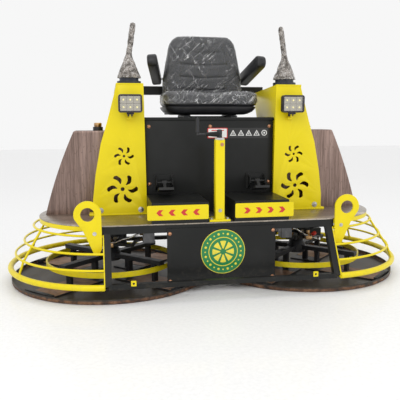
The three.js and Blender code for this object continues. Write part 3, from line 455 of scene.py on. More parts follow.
def tube(points, r, sides=5, closed=False):
    """A round bar bent through the points."""
    curve = bpy.data.curves.new("tube", "CURVE")
    curve.dimensions, curve.bevel_depth, curve.bevel_resolution = "3D", r, sides
    curve.use_fill_caps = not closed
    spline = curve.splines.new("POLY")
    spline.points.add(len(points) - 1)
    for point, at in zip(spline.points, points):
        point.co = (*at, 1.0)
    spline.use_cyclic_u = closed
    return from_curve(curve)


FACING = {  # a sheet drawn in its own X and Y and lying along Z, turned to stand in the named plane
    "xy": Matrix.Identity(4),
    "xz": Matrix.Rotation(math.pi / 2, 4, "X"),
    "yz": Matrix(((0, 0, 1, 0), (1, 0, 0, 0), (0, 1, 0, 0), (0, 0, 0, 1))),
}


def sheet(outline, plane, at, thick, holes=(), edge=0.0006):
    """A flat closed sheet with holes, at being its middle's place across the plane."""
    curve = bpy.data.curves.new("sheet", "CURVE")
    curve.dimensions, curve.fill_mode = "2D", "BOTH"
    curve.extrude, curve.bevel_depth, curve.bevel_resolution = thick / 2 - edge, edge, 1
    for points in (outline, *holes):
        spline = curve.splines.new("POLY")
        spline.points.add(len(points) - 1)
        for point, (a, b) in zip(spline.points, points):
            point.co = (a, b, 0.0, 1.0)
        spline.use_cyclic_u = True
    bm = from_curve(curve)
    bm.transform(FACING[plane])
    shift = {"xy": (0, 0, at), "xz": (0, at, 0), "yz": (at, 0, 0)}[plane]
    bm.transform(Matrix.Translation(shift))
    return bm


def mark(outline, front, holes=()):
    """A thin printed mark on a face that looks to the front."""
    return sheet(outline, "xz", front, 0.0012, holes, 0.0002)


def arc(cx, cy, r, start, end, steps=24):
    """Points round a circle, angles in degrees."""
    turns = [math.radians(start + (end - start) * i / steps) for i in range(steps + 1)]
    return [(cx + r * math.cos(t), cy + r * math.sin(t)) for t in turns]


def round_rect(x0, x1, y0, y1, r, steps=6):
    return [p for cx, cy, a in ((x1 - r, y0 + r, -90), (x1 - r, y1 - r, 0), (x0 + r, y1 - r, 90),
                                (x0 + r, y0 + r, 180)) for p in arc(cx, cy, r, a, a + 90, steps)]


def bolt(at, axis, r=None, dome=False, washer=1.9):
    """Hexagon or domed head on a washer, standing along axis."""
    r = r or sizes().bolt
    at, axis = Vector(at), Vector(axis).normalized()
    if dome:
        washer = 1.25
        curve = [(0, 0.95), (0.5, 0.84), (0.9, 0.52), (1.1, 0.2), (1.15, 0), (0, 0)]
        head = [turned([(r * a, r * b) for a, b in curve], (0, 0, 0), 20)]
    else:
        head = [rod((0, 0, r * 0.2), (0, 0, r * 1.15), r, sides=6, bevel=r * 0.12),
                rod((0, 0, r * 1.1), (0, 0, r * 1.3), r * 0.5, sides=14)]
    head.append(rod((0, 0, -r * 0.05), (0, 0, r * 0.25), r * washer, sides=24, bevel=r * 0.06))
    turn = Matrix.Translation(at) @ Vector((0, 0, 1)).rotation_difference(axis).to_matrix().to_4x4()
    for bm in head:
        bm.transform(turn)
    return head


MIRROR = Matrix.Scale(-1, 4, (1, 0, 0))


class Piece:
    """Closed shapes gathered in one mesh, each with one of the piece's materials."""

    def __init__(self, *materials):
        self.bm = bmesh.new()
        self.materials = materials

    def add(self, shapes, use=0):
        for shape in shapes if isinstance(shapes, (list, tuple)) else [shapes]:
            for face in shape.faces:
                face.material_index = use
                face.smooth = True
            held = bpy.data.meshes.new("held")
            shape.to_mesh(held)
            self.bm.from_mesh(held)
            shape.free()
            bpy.data.meshes.remove(held)
        return self

    def done(self, name, body, slot, replaces=(), mirror=False, sharp=32.0):
        """The finished object, riding on its body. mirror makes the left twin of a right piece."""
        bm = self.bm.copy()
        if mirror:
            bm.transform(MIRROR)
        bmesh.ops.recalc_face_normals(bm, faces=bm.faces)
        me = bpy.data.meshes.new(name)
        bm.to_mesh(me)
        bm.free()
        for title in self.materials:
            me.materials.append(material(title))
        me.set_sharp_from_angle(angle=math.radians(sharp))
        ob = bpy.data.objects.new(name, me)
        bpy.context.scene.collection.objects.link(ob)
        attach(ob, body)
        if replaces:
            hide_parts(*replaces)
        return ob

    def twins(self, name, body, slot, replaces, **how):
        """A right piece and its mirrored left twin; names take _left and _right."""
        both = []
        for side, mirror in (("right", False), ("left", True)):
            on = body if body in frame["bodies"] else f"{body}_{side}"
            both.append(self.done(f"{name}_{side}_look", on, slot, [f"{r}_{side}" for r in replaces],
                                  mirror=mirror, **how))
        return both


def kept(title, *names, bevel=0.0012):
    """CAD nodes that stay as they are get a material and rounded edges."""
    for name in names:
        for one in [name] if name in frame["nodes"] else [f"{name}_left", f"{name}_right"]:
            ob = frame["nodes"][one]
            ob.data.materials.clear()
            ob.data.materials.append(material(title))
            weld = ob.modifiers.new("weld", "WELD")
            weld.merge_threshold = 0.00005
            if bevel:
                round_off = ob.modifiers.new("edge", "BEVEL")
                round_off.width, round_off.segments = bevel, 2
                round_off.limit_method, round_off.angle_limit = "ANGLE", math.radians(38)
                round_off.use_clamp_overlap = True


class TROWEL_OT_frame(bpy.types.Operator):
    """Main frame, lower panel with its badge, and the nodes that stay as they are"""
    bl_idname = "trowel.frame"
    bl_label = "Frame"

    def execute(self, context):
        kept("black_paint", "main_frame", "rear_crossbar", "tilt_yoke_right", "step_box", "pedal_mount",
             bevel=0.0016)
        kept("yellow_paint", "lamp_bracket", bevel=0.001)
        kept("engine_alloy", "engine_block", "hydraulic_motor", bevel=0.003)
        kept("zinc", "hydraulic_pump", "joystick_gimbal_right", bevel=0.001)
        kept("cast_metal", "seat_rails", "gearbox", bevel=0.002)
        kept("black_plastic", "engine_fan_housing", bevel=0.003)
        low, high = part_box("lower_front_panel")
        panel = Piece("black_paint", "copper", "green_badge", "badge_yellow")
        panel.add(sheet(round_rect(low.x, high.x, low.z, high.z, 0.008), "xz", (low.y + high.y) / 2,
                        high.y - low.y))
        for x in (low.x + 0.012, high.x - 0.012):
            for z in (high.z - 0.023, low.z + 0.013):
                panel.add(bolt((x, low.y, z), (0, -1, 0), dome=True), 1)
        mid = Vector((0.004, low.y, 0.185))
        rim, field, circle, circle_in = (arc(mid.x, mid.z, r, 0, 355, 71)
                                         for r in (0.102, 0.099, 0.0675, 0.0645))
        panel.add(mark(rim, low.y - 0.0006), 3)
        panel.add(mark(field, low.y - 0.0014), 2)
        panel.add(mark(circle, low.y - 0.0019, [circle_in]), 3)
        for i in range(24):
            turn = math.radians(15 * i)
            spot = (mid.x + 0.083 * math.cos(turn), mid.z + 0.083 * math.sin(turn))
            dot = arc(*spot, 0.0052 if i % 2 else 0.0032, 0, 345, 15)
            panel.add(mark(dot, low.y - 0.0019), 3)
        for i in range(8):
            turn = 45 * i
            tip = arc(mid.x, mid.z, 0.014, turn - 9, turn + 9, 2)
            wide = arc(mid.x, mid.z, 0.050, turn + 16, turn - 16, 6)
            panel.add(mark(tip + wide, low.y - 0.0019), 3)
        panel.done("lower_front_panel_look", "machine", "black_paint", ["lower_front_panel"])
        return {"FINISHED"}


class TROWEL_OT_deck(bpy.types.Operator):
    """Deck sheet and the yellow bands round its ends"""
    bl_idname = "trowel.deck"
    bl_label = "Deck"

    def execute(self, context):
        s = sizes()
        low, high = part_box("deck_plate")
        cx, cy, r = high.x - s.deck_r, (low.y + high.y) / 2, s.deck_r
        outline = arc(cx, cy, r, -90, 90, 64) + arc(-cx, cy, r, 90, 270, 64)
        well = round_rect(-0.27, 0.27, -0.064, 0.21, 0.01)
        deck = Piece("deck_steel")
        deck.add(sheet(outline, "xy", (low.z + high.z) / 2, high.z - low.z, [well], 0.0012))
        deck.done("deck_plate_look", "machine", "deck_steel", ["deck_plate"])
        low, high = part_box("deck_skirt_right")
        start = math.degrees(math.acos(min(1.0, (low.x - cx) / r)))
        band = Piece("yellow_paint")
        outer, inner = arc(cx, cy, r, -start, start, 72), arc(cx, cy, r - 0.005, start, -start, 72)
        band.add(sheet(outer + inner, "xy", (low.z + high.z) / 2, high.z - low.z, edge=0.001))
        band.twins("deck_skirt", "machine", "yellow_paint", ["deck_skirt"])
        return {"FINISHED"}


class TROWEL_OT_guards(bpy.types.Operator):
    """Guard cages: ring tube, rods, struts, end plates and weld beads"""
    bl_idname = "trowel.guards"
    bl_label = "Guards"

    def execute(self, context):
        s = sizes()
        low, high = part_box("guard_cage_right")
        cx, big = s.rotor_x, high.x - s.ring_tube - s.rotor_x
        start_x = low.x + 0.0025
        cage = Piece("yellow_paint")
        rings = [(big, 0.075, s.ring_tube), (big - 0.026, 0.142, s.rod), (big - 0.069, 0.204, s.rod),
                 (big - 0.115, 0.273, s.rod)]

        def at(r, z, turn):
            return Vector((cx + r * math.cos(turn), r * math.sin(turn), z))

        for r, z, thick in rings:
            end = math.acos((start_x - cx) / r)
            points = [at(r, z, -end + 2 * end * i / 96) for i in range(97)]
            cage.add(tube(points, thick, 7 if thick > 0.01 else 4))
        for turn in (math.radians(-30), math.radians(30)):
            points = [at(r, z, turn) for r, z, _ in rings]
            cage.add(tube(points, s.rod, 4))
            for k, point in enumerate(points):
                bead = bmesh.new()
                size = 0.0085 if k else 0.0115
                bmesh.ops.create_icosphere(bead, subdivisions=2, radius=size)
                for v in bead.verts:
                    v.co *= 1 + 0.12 * noise.noise(v.co * 300 + Vector((k, turn, 0)))
                bead.transform(Matrix.Translation(point + Vector((0, 0, 0.004 if k == 0 else 0))))
                cage.add(bead)
        top_r, top_z = rings[-1][0], rings[-1][1]
        ring_z = 0.075
        profile = [(-big - 0.002, ring_z - 0.010), (-big - 0.002, ring_z + 0.012),
                   (-top_r - 0.002, top_z + 0.006), (-top_r + 0.022, top_z + 0.006),
                   (-big + 0.026, ring_z - 0.010)]
        for way in (1, -1):
            cage.add(sheet([(way * y, z) for y, z in profile], "yz", low.x + 0.0025, 0.005, edge=0.0008))
        cage.twins("guard_cage", "machine", "yellow_paint", ["guard_cage"], sharp=40)
        return {"FINISHED"}


class TROWEL_OT_eyes(bpy.types.Operator):
    """Lifting eye plates with their bolts"""
    bl_idname = "trowel.eyes"
    bl_label = "Lifting eyes"

    def execute(self, context):
        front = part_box("lifting_eye_right")[1].y - 0.010
        s = sizes()
        x, z, r = s.rotor_x + 0.104, s.deck_z + 0.052, 0.058
        outline = arc(x, z, r, -18, 171, 40) + [(x - r, z - 0.148), (x - r + 0.004, z - 0.158),
                                               (x - r + 0.016, z - 0.180), (x - r + 0.026, z - 0.181),
                                               (x - r + 0.034, z - 0.172), (x + 0.022, z - 0.064),
                                               (x + 0.040, z - 0.040)]
        eye = Piece("yellow_paint", "zinc")
        eye.add(sheet(outline, "xz", front + 0.005, 0.010, [arc(x, z, 0.0315, 0, 355, 63)], 0.0014))
        eye.add(bolt((x - 0.028, front, z - 0.084), (0, -1, 0), 0.0052, washer=1.7), 1)
        eye.twins("lifting_eye", "machine", "yellow_paint", ["lifting_eye"])
        return {"FINISHED"}


# ---- Hood, steps, column -------------------------------------------------------------------------
class TROWEL_OT_hood(bpy.types.Operator):
    """Hood with its cap band, bolts and plain plates"""
    bl_idname = "trowel.hood"
    bl_label = "Hood"

    def execute(self, context):
        low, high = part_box("hood")
        lip = 0.005
        half, front, back, top = high.x - lip, low.y + lip, high.y - lip, high.z
        hood = Piece("black_paint", "copper", "white_plate", "red_mark", "ink", "badge_yellow")
        wall = 0.004
        hood.add(cube((-half, front, low.z), (half, front + wall, top - 0.002), 0.0012))
        hood.add(cube((-half, back - wall, low.z), (half, back, top - 0.002), 0.0012))
        for way in (-1, 1):
            side = sorted((way * half, way * (half - wall)))
            hood.add(cube((side[0], front + wall, low.z), (side[1], back - wall, top - 0.002), 0.001))
        hood.add(cube((low.x, low.y, top - 0.015), (high.x, high.y, top), 0.0035, 3))
        face = front - 0.0001
        for x, z in ((-0.300, 0.744), (0.0, 0.744), (0.300, 0.744), (-0.300, 0.466), (0.300, 0.466)):
            hood.add(bolt((x, face, z), (0, -1, 0), dome=True), 1)
        plate = (-0.013, 0.087, 0.686, 0.736)
        hood.add(mark(round_rect(*plate, 0.004), face - 0.0006), 3)
        inner = (plate[0] + 0.004, plate[1] - 0.004, plate[2] + 0.004, plate[3] - 0.004)
        hood.add(mark(round_rect(*inner, 0.003), face - 0.0011), 2)
        for k, (x0, x1) in enumerate(((0.006, 0.068), (0.010, 0.060), (0.006, 0.050))):
            z = 0.724 - 0.0125 * k
            hood.add(mark(round_rect(x0, x1, z - 0.0022, z + 0.0022, 0.002), face - 0.0016), 3)
        hood.add(mark(round_rect(0.090, 0.295, 0.685, 0.735, 0.003), face - 0.0006), 4)
        for k in range(4):
            x = 0.115 + 0.040 * k
            out = [(x - 0.016, 0.698), (x + 0.016, 0.698), (x, 0.726)]
            hole = [(x - 0.0105, 0.701), (x + 0.0105, 0.701), (x, 0.7195)]
            hood.add(mark(out, face - 0.0012, [hole]), 2)
            hood.add(mark(round_rect(x - 0.0018, x + 0.0018, 0.7035, 0.7125, 0.0015), face - 0.0012), 2)
        ring, ring_in = (arc(0.274, 0.711, r, 0, 350, 35) for r in (0.014, 0.0105))
        hood.add(mark(ring, face - 0.0012, [ring_in]), 2)
        hood.add(mark(arc(0.274, 0.711, 0.0045, 0, 340, 17), face - 0.0012), 2)
        hood.done("hood_look", "machine", "black_paint", ["hood"])
        return {"FINISHED"}


class TROWEL_OT_steps(bpy.types.Operator):
    """Front plates of the steps, with their chevrons"""
    bl_idname = "trowel.steps"
    bl_label = "Steps"

    def execute(self, context):
        low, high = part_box("step_plate_right")
        plate = Piece("yellow_paint", "red_mark", "zinc")
        plate.add(sheet(round_rect(low.x, high.x, low.z, high.z, 0.006), "xz", (low.y + high.y) / 2,
                        high.y - low.y, edge=0.0008))
        mid, step = (low.z + high.z) / 2, (high.x - low.x) / 5
        for k in range(4):
            x = low.x + step * (k + 1)
            chevron = [(x - 0.015, mid - 0.013), (x + 0.003, mid - 0.013), (x + 0.015, mid),
                       (x + 0.003, mid + 0.013), (x - 0.015, mid + 0.013), (x - 0.003, mid)]
            plate.add(mark(chevron, low.y - 0.0004), 1)
        plate.twins("step_plate", "machine", "yellow_paint", ["step_plate"])
        return {"FINISHED"}


class TROWEL_OT_column(bpy.types.Operator):
    """Crank column, its foot and the crank"""
    bl_idname = "trowel.column"
    bl_label = "Column and crank"

    def execute(self, context):
        low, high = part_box("crank_column")
        x, y, half = -0.008, -0.351, 0.021
        foot = low.z + 0.010
        column = Piece("yellow_paint", "zinc", "shiny_steel", "copper")
        column.add(cube((low.x, low.y, low.z), (high.x, high.y, foot), 0.0016))
        column.add(cube((x - half, y - half, foot - 0.001), (x + half, y + half, 0.690), 0.004, 3))
        column.add(turned([(0.007, 0.688), (0.024, 0.688), (0.024, 0.6955), (0.0225, 0.697), (0.007, 0.697)],
                          (x, y, 0), 48, True), 2)
        for spot in ((x + 0.037, low.y + 0.014), (x - 0.037, low.y + 0.014), (x + 0.037, high.y - 0.014),
                     (x - 0.037, high.y - 0.014)):
            column.add(bolt((*spot, foot), (0, 0, 1), 0.006, washer=1.6), 1)
        column.add(bolt((x + 0.008, y - half, 0.668), (0, -1, 0), 0.0055, washer=1.5), 3)
        column.add(bolt((x, y - half, 0.372), (0, -1, 0), 0.0055, washer=1.5), 1)
        column.done("crank_column_look", "machine", "yellow_paint", ["crank_column"])
        low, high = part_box("crank_arm")
        z = 0.713
        arm = Piece("black_paint", "cast_metal", "black_plastic")
        arm.add(turned([(0, 0.645), (0.006, 0.645), (0.006, 0.698), (0.011, 0.698), (0.0115, 0.7),
                        (0.0115, 0.728), (0.0105, 0.732), (0.006, 0.734), (0, 0.734)], (x, y, 0), 32), 1)
        arm.add(rod((x, y, z), (x - 0.062, y, z), 0.013, 0.008, 32, 0.0012))
        pin_x = low.x + 0.004
        arm.add(rod((x - 0.060, y, z), (pin_x, y, z), 0.005, sides=20, bevel=0.0008), 2)
        arm.add(rod((pin_x, y, z - 0.005), (pin_x, y, high.z), 0.004, sides=20, bevel=0.0006), 2)
        arm.done("crank_arm_look", "crank", "black_paint", ["crank_arm"])
        low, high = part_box("crank_grip")
        gx = (low.x + high.x) / 2
        r = (high.x - low.x) / 2
        grip = Piece("cast_metal")
        grip.add(turned([(0.0046, low.z), (r - 0.001, low.z), (r, low.z + 0.0012), (r, low.z + 0.02),
                         (r - 0.0008, low.z + 0.03), (r, low.z + 0.04), (r, high.z - 0.0012),
                         (r - 0.001, high.z), (0.0046, high.z)], (gx, y, 0), 40, True))
        grip.done("crank_grip_look", "crank_grip", "zinc", ["crank_grip"])
        return {"FINISHED"}


# ---- Towers, lamps and tanks ---------------------------------------------------------------------
class TROWEL_OT_towers(bpy.types.Operator):
    """Control towers with their cut-out flowers, flanges and foot bolts"""
    bl_idname = "trowel.towers"
    bl_label = "Control towers"

    def execute(self, context):
        t = sizes().sheet
        low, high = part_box("control_tower_right")
        front, back, top = low.y, high.y, high.z
        inner, right = 0.325, 0.453
        base = low.z + 0.009
        widths = [(255, 0), (255, 70), (240, 190), (212, 335), (182, 430), (157, 520), (135, 600)]
        edge = [(inner - 0.008 + w / 1000, base + z / 1000) for w, z in widths]
        face = [(inner - 0.008, base), *edge, (right, top - 0.014), (right - 0.012, top - t),
                (inner, top - t)]
        flowers = [(inner + 0.097, base + 0.275, 0.047), (inner + 0.107, base + 0.117, 0.074)]
        holes = []
        for fx, fz, size in flowers:
            holes.append(arc(fx, fz, size * 0.14, 0, 340, 17))
            holes += [self.petal(fx, fz, size, math.pi / 3 * k) for k in range(6)]
        tower = Piece("yellow_paint", "zinc")
        tower.add(sheet(face, "xz", front + t / 2, t, holes, 0.0007))

        def fall(y):
            return top - 0.025 * (y - front) / (back - front)

        near = front + 0.060
        wall = [(front + 0.001, base), (near, base), (near, 0.700), (0.174, 0.700), (back, 0.890),
                (back, fall(back) - t), (front + 0.001, top - t)]
        tower.add(sheet(wall, "yz", inner + t / 2, t))
        band = [(front + 0.001, top - 0.001), (front + 0.001, top - 0.045), (back, fall(back) - 0.045),
                (back, fall(back) - 0.001)]
        tower.add(sheet(band, "yz", right - t / 2, t))
        lid = [(front, top), (front, top - t), (back, fall(back) - t), (back, fall(back))]
        tower.add(sheet(lid, "yz", (inner + right) / 2, right - inner, edge=0.0012))
        tower.add(cube((low.x, front, low.z), (high.x, front + 0.062, base + 0.001), 0.0015))
        for (xa, za), (xb, zb) in zip(edge, edge[1:]):
            tower.add(self.flange(xa - 0.003, za, xb - 0.003, zb, front, t))
        for x in (0.346, 0.538):
            tower.add(bolt((x, front, base + 0.016), (0, -1, 0), 0.008, washer=1.7), 1)
        for x in (0.346, 0.446, 0.546):
            tower.add(bolt((x, front + 0.044, base + 0.001), (0, 0, 1), 0.006, washer=1.6), 1)
        tower.twins("control_tower", "machine", "yellow_paint", ["control_tower"])
        return {"FINISHED"}

    def petal(self, cx, cz, size, angle):
        """A comma-shaped cut-out: a curved spine that widens to a round end."""
        spine = [(0.34, 0.14, 0.030), (0.45, 0.22, 0.070), (0.56, 0.24, 0.110), (0.67, 0.20, 0.145),
                 (0.78, 0.11, 0.168), (0.87, 0.02, 0.172)]

        def at(r, a):
            return (cx + size * r * math.cos(angle + a), cz + size * r * math.sin(angle + a))

        right = [at(r, a - w / r) for r, a, w in spine]
        left = [at(r, a + w / r) for r, a, w in spine]
        cap = [at(0.87 + 0.13 * math.cos(turn), 0.19 * math.sin(turn))
               for turn in (-1.0, -0.6, -0.2, 0.2, 0.6, 1.0)]
        return [*right, *cap, *reversed(left)]

    def flange(self, xa, za, xb, zb, front, t):
        a, b = Vector((xa, 0, za)), Vector((xb, 0, zb))
        place, long = along(a, b)
        bm = cube((-t / 2, front + 0.001, -long / 2), (t / 2, front + 0.059, long / 2 + 0.0004), 0.0006, 1)
        bm.transform(place)
        return bm


class TROWEL_OT_lamps(bpy.types.Operator):
    """Work lamps with reflector cells behind glass"""
    bl_idname = "trowel.lamps"
    bl_label = "Lamps"

    def execute(self, context):
        count = sizes().cells
        low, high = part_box("lamp_right")
        x0, x1, y0, y1 = low.x, high.x, low.y, high.y
        z1, z0 = high.z, high.z - 0.080
        lamp = Piece("lamp_alloy", "reflector", "led", "lens", "shiny_steel")
        rim = [round_rect(x0 + 0.0035, x1 - 0.0035, z0 + 0.0035, z1 - 0.0035, 0.007)]
        lamp.add(sheet(round_rect(x0, x1, z0, z1, 0.010), "xz", y0 + 0.006, 0.012, rim, 0.0016))
        lamp.add(sheet(round_rect(x0, x1, z0, z1, 0.010), "xz", y0 + 0.024, 0.024, edge=0.0016))
        for k in range(9):
            x = x0 + 0.013 + k * (x1 - x0 - 0.026) / 8
            lamp.add(cube((x - 0.0016, y0 + 0.034, z0 + 0.006), (x + 0.0016, y1, z1 - 0.006), 0.0005, 1))
        wide, tall = (x1 - x0 - 0.012) / count, (z1 - z0 - 0.012) / 2
        for i in range(count):
            for j in range(2):
                cx, cz = x0 + 0.006 + wide * (i + 0.5), z0 + 0.006 + tall * (j + 0.5)
                lamp.add(self.cup(cx, cz, wide, tall, y0 + 0.0042), 1)
                bead = bmesh.new()
                bmesh.ops.create_uvsphere(bead, u_segments=16, v_segments=10, radius=0.0048)
                bead.transform(Matrix.Translation((cx, y0 + 0.0100, cz)))
                lamp.add(bead, 2)
        lamp.add(cube((x0 + 0.0055, y0 + 0.0015, z0 + 0.0055), (x1 - 0.0055, y0 + 0.003, z1 - 0.0055)), 3)
        mid, pivot = (x0 + x1) / 2, z0 - 0.012
        y = -0.1495
        lamp.add(cube((mid - 0.017, y - 0.027, z0 - 0.010), (mid + 0.017, y - 0.0140, z0 + 0.001), 0.001))
        for way in (-1, 1):
            at = mid + way * 0.0085
            lamp.add(cube((at - 0.0035, y - 0.007, pivot - 0.007), (at + 0.0035, y + 0.007, z0 + 0.001),
                          0.001))
        lamp.add(rod((mid - 0.012, y, pivot), (mid + 0.012, y, pivot), 0.004, sides=20), 4)
        lamp.twins("lamp", "lamp", "lamp_alloy", ["lamp"])
        return {"FINISHED"}

    def cup(self, cx, cz, wide, tall, y):
        """A square reflector narrowing to its light."""
        bm = bmesh.new()
        bmesh.ops.create_grid(bm, x_segments=1, y_segments=1, size=0.5)
        bm.transform(Matrix.Diagonal((wide - 0.0012, tall - 0.0012, 1, 1)))
        bmesh.ops.inset_region(bm, faces=bm.faces[:], thickness=wide * 0.30, depth=0.0)
        centre = min(bm.faces, key=lambda f: f.calc_center_median().length)
        for v in centre.verts:
            v.co.z -= 0.0065
        bmesh.ops.solidify(bm, geom=bm.faces[:], thickness=0.0006)
        bm.transform(Matrix.Translation((cx, y, cz)) @ Matrix.Rotation(math.pi / 2, 4, "X"))
        return bm


class TROWEL_OT_tanks(bpy.types.Operator):
    """Tanks of bare sheet, their necks and knurled caps"""
    bl_idname = "trowel.tanks"
    bl_label = "Tanks"

    def execute(self, context):
        low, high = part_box("tank_right")
        x0, y0, y1 = low.x, low.y, high.y
        foot, wide_low, wide_top = low.z, 0.446, 0.306
        top = 0.720
        x1 = x0 + wide_top

        def ease(a, c, b, n=14):
            return [tuple(Vector(a) * (1 - t) ** 2 + Vector(c) * 2 * t * (1 - t) + Vector(b) * t * t)
                    for t in (i / n for i in range(n + 1))]

        bulge = ((x0 + wide_low + x1) / 2 + 0.018, (foot + top) / 2)
        outline = [(x0, foot)] + ease((x0 + wide_low, foot), bulge, (x1, top - 0.007))
        outline += ease((x1, top - 0.007), (x1 - 0.002, top), (x1 - 0.010, top), 6)
        outline += ease((x0 + 0.008, top), (x0, top), (x0, top - 0.008), 6)
        tank = Piece("tank_steel", "black_plastic", "brass")
        tank.add(sheet(outline, "xz", (y0 + y1) / 2, y1 - y0 - 0.0004, edge=0.004))
        nx, ny = x1 - 0.116, (y0 + y1) / 2
        neck = high.z
        tank.add(turned([(0.020, top - 0.003), (0.0245, top - 0.003), (0.0245, neck - 0.001), (0.0235, neck),
                         (0.020, neck)], (nx, ny, 0), 40, True), 1)
        tank.add(cube((x0 + 0.002, y0 + 0.001, foot), (x0 + wide_low - 0.004, y1 - 0.001, foot + 0.006),
                      0.001), 1)
        tank.twins("tank", "machine", "deck_steel", ["tank"])
        low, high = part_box("tank_cap_right")
        cap = Piece("brass")
        r = (high.x - low.x) / 2
        cap.add(turned([(0, low.z), (r - 0.004, low.z), (r - 0.0006, neck + 0.001),
                        (r - 0.0006, neck + 0.003), (r, neck + 0.004), (r, high.z - 0.003),
                        (r - 0.003, high.z), (0, high.z)],
                       (nx, ny, 0), 48))
        for k in range(30):
            turn = 2 * math.pi * k / 30
            side = Vector((math.cos(turn), math.sin(turn), 0)) * (r - 0.0012)
            at = Vector((nx, ny, 0)) + side
            cap.add(rod((at.x, at.y, neck + 0.005), (at.x, at.y, high.z - 0.004), 0.0012, sides=6))
        cap.twins("tank_cap", "tank_cap", "brass", ["tank_cap"])
        return {"FINISHED"}


# ---- Seat ----------------------------------------------------------------------------------------
def swollen(ob, cap):
    """Swells a closed cushion with cloth under pressure, no point moving further than cap."""
    rest = [v.co.copy() for v in ob.data.vertices]
    cloth = ob.modifiers.new("cloth", "CLOTH")
    cloth.settings.use_pressure = True
    cloth.settings.uniform_pressure_force = 4.0
    cloth.settings.effector_weights.gravity = 0.0
    cloth.settings.quality = 5
    cloth.point_cache.frame_start, cloth.point_cache.frame_end = 1, 20
    scene = bpy.context.scene
    for step in range(1, 21):
        scene.frame_set(step)
    graph = bpy.context.evaluated_depsgraph_get()
    moved = [v.co.copy() for v in ob.evaluated_get(graph).data.vertices]
    ob.modifiers.clear()
    for v, was, now in zip(ob.data.vertices, rest, moved):
        shift = now - was
        v.co = was + (shift * (cap / shift.length) if shift.length > cap else shift)
    scene.frame_set(1)


def remeshed(bm, voxel, name):
    """The shape as an object with an even mesh."""
    me = bpy.data.meshes.new(name)
    bm.to_mesh(me)
    bm.free()
    ob = bpy.data.objects.new(name, me)
    bpy.context.scene.collection.objects.link(ob)
    grid = ob.modifiers.new("grid", "REMESH")
    grid.mode, grid.voxel_size = "VOXEL", voxel
    graph = bpy.context.evaluated_depsgraph_get()
    made = bpy.data.meshes.new_from_object(ob.evaluated_get(graph))
    ob.modifiers.clear()
    ob.data = made
    return ob


def groove(distance, width):
    """How deep a sewn seam pulls the cover in at that distance from it, from 0 to 1."""
    return math.exp(-(distance / width) ** 2)


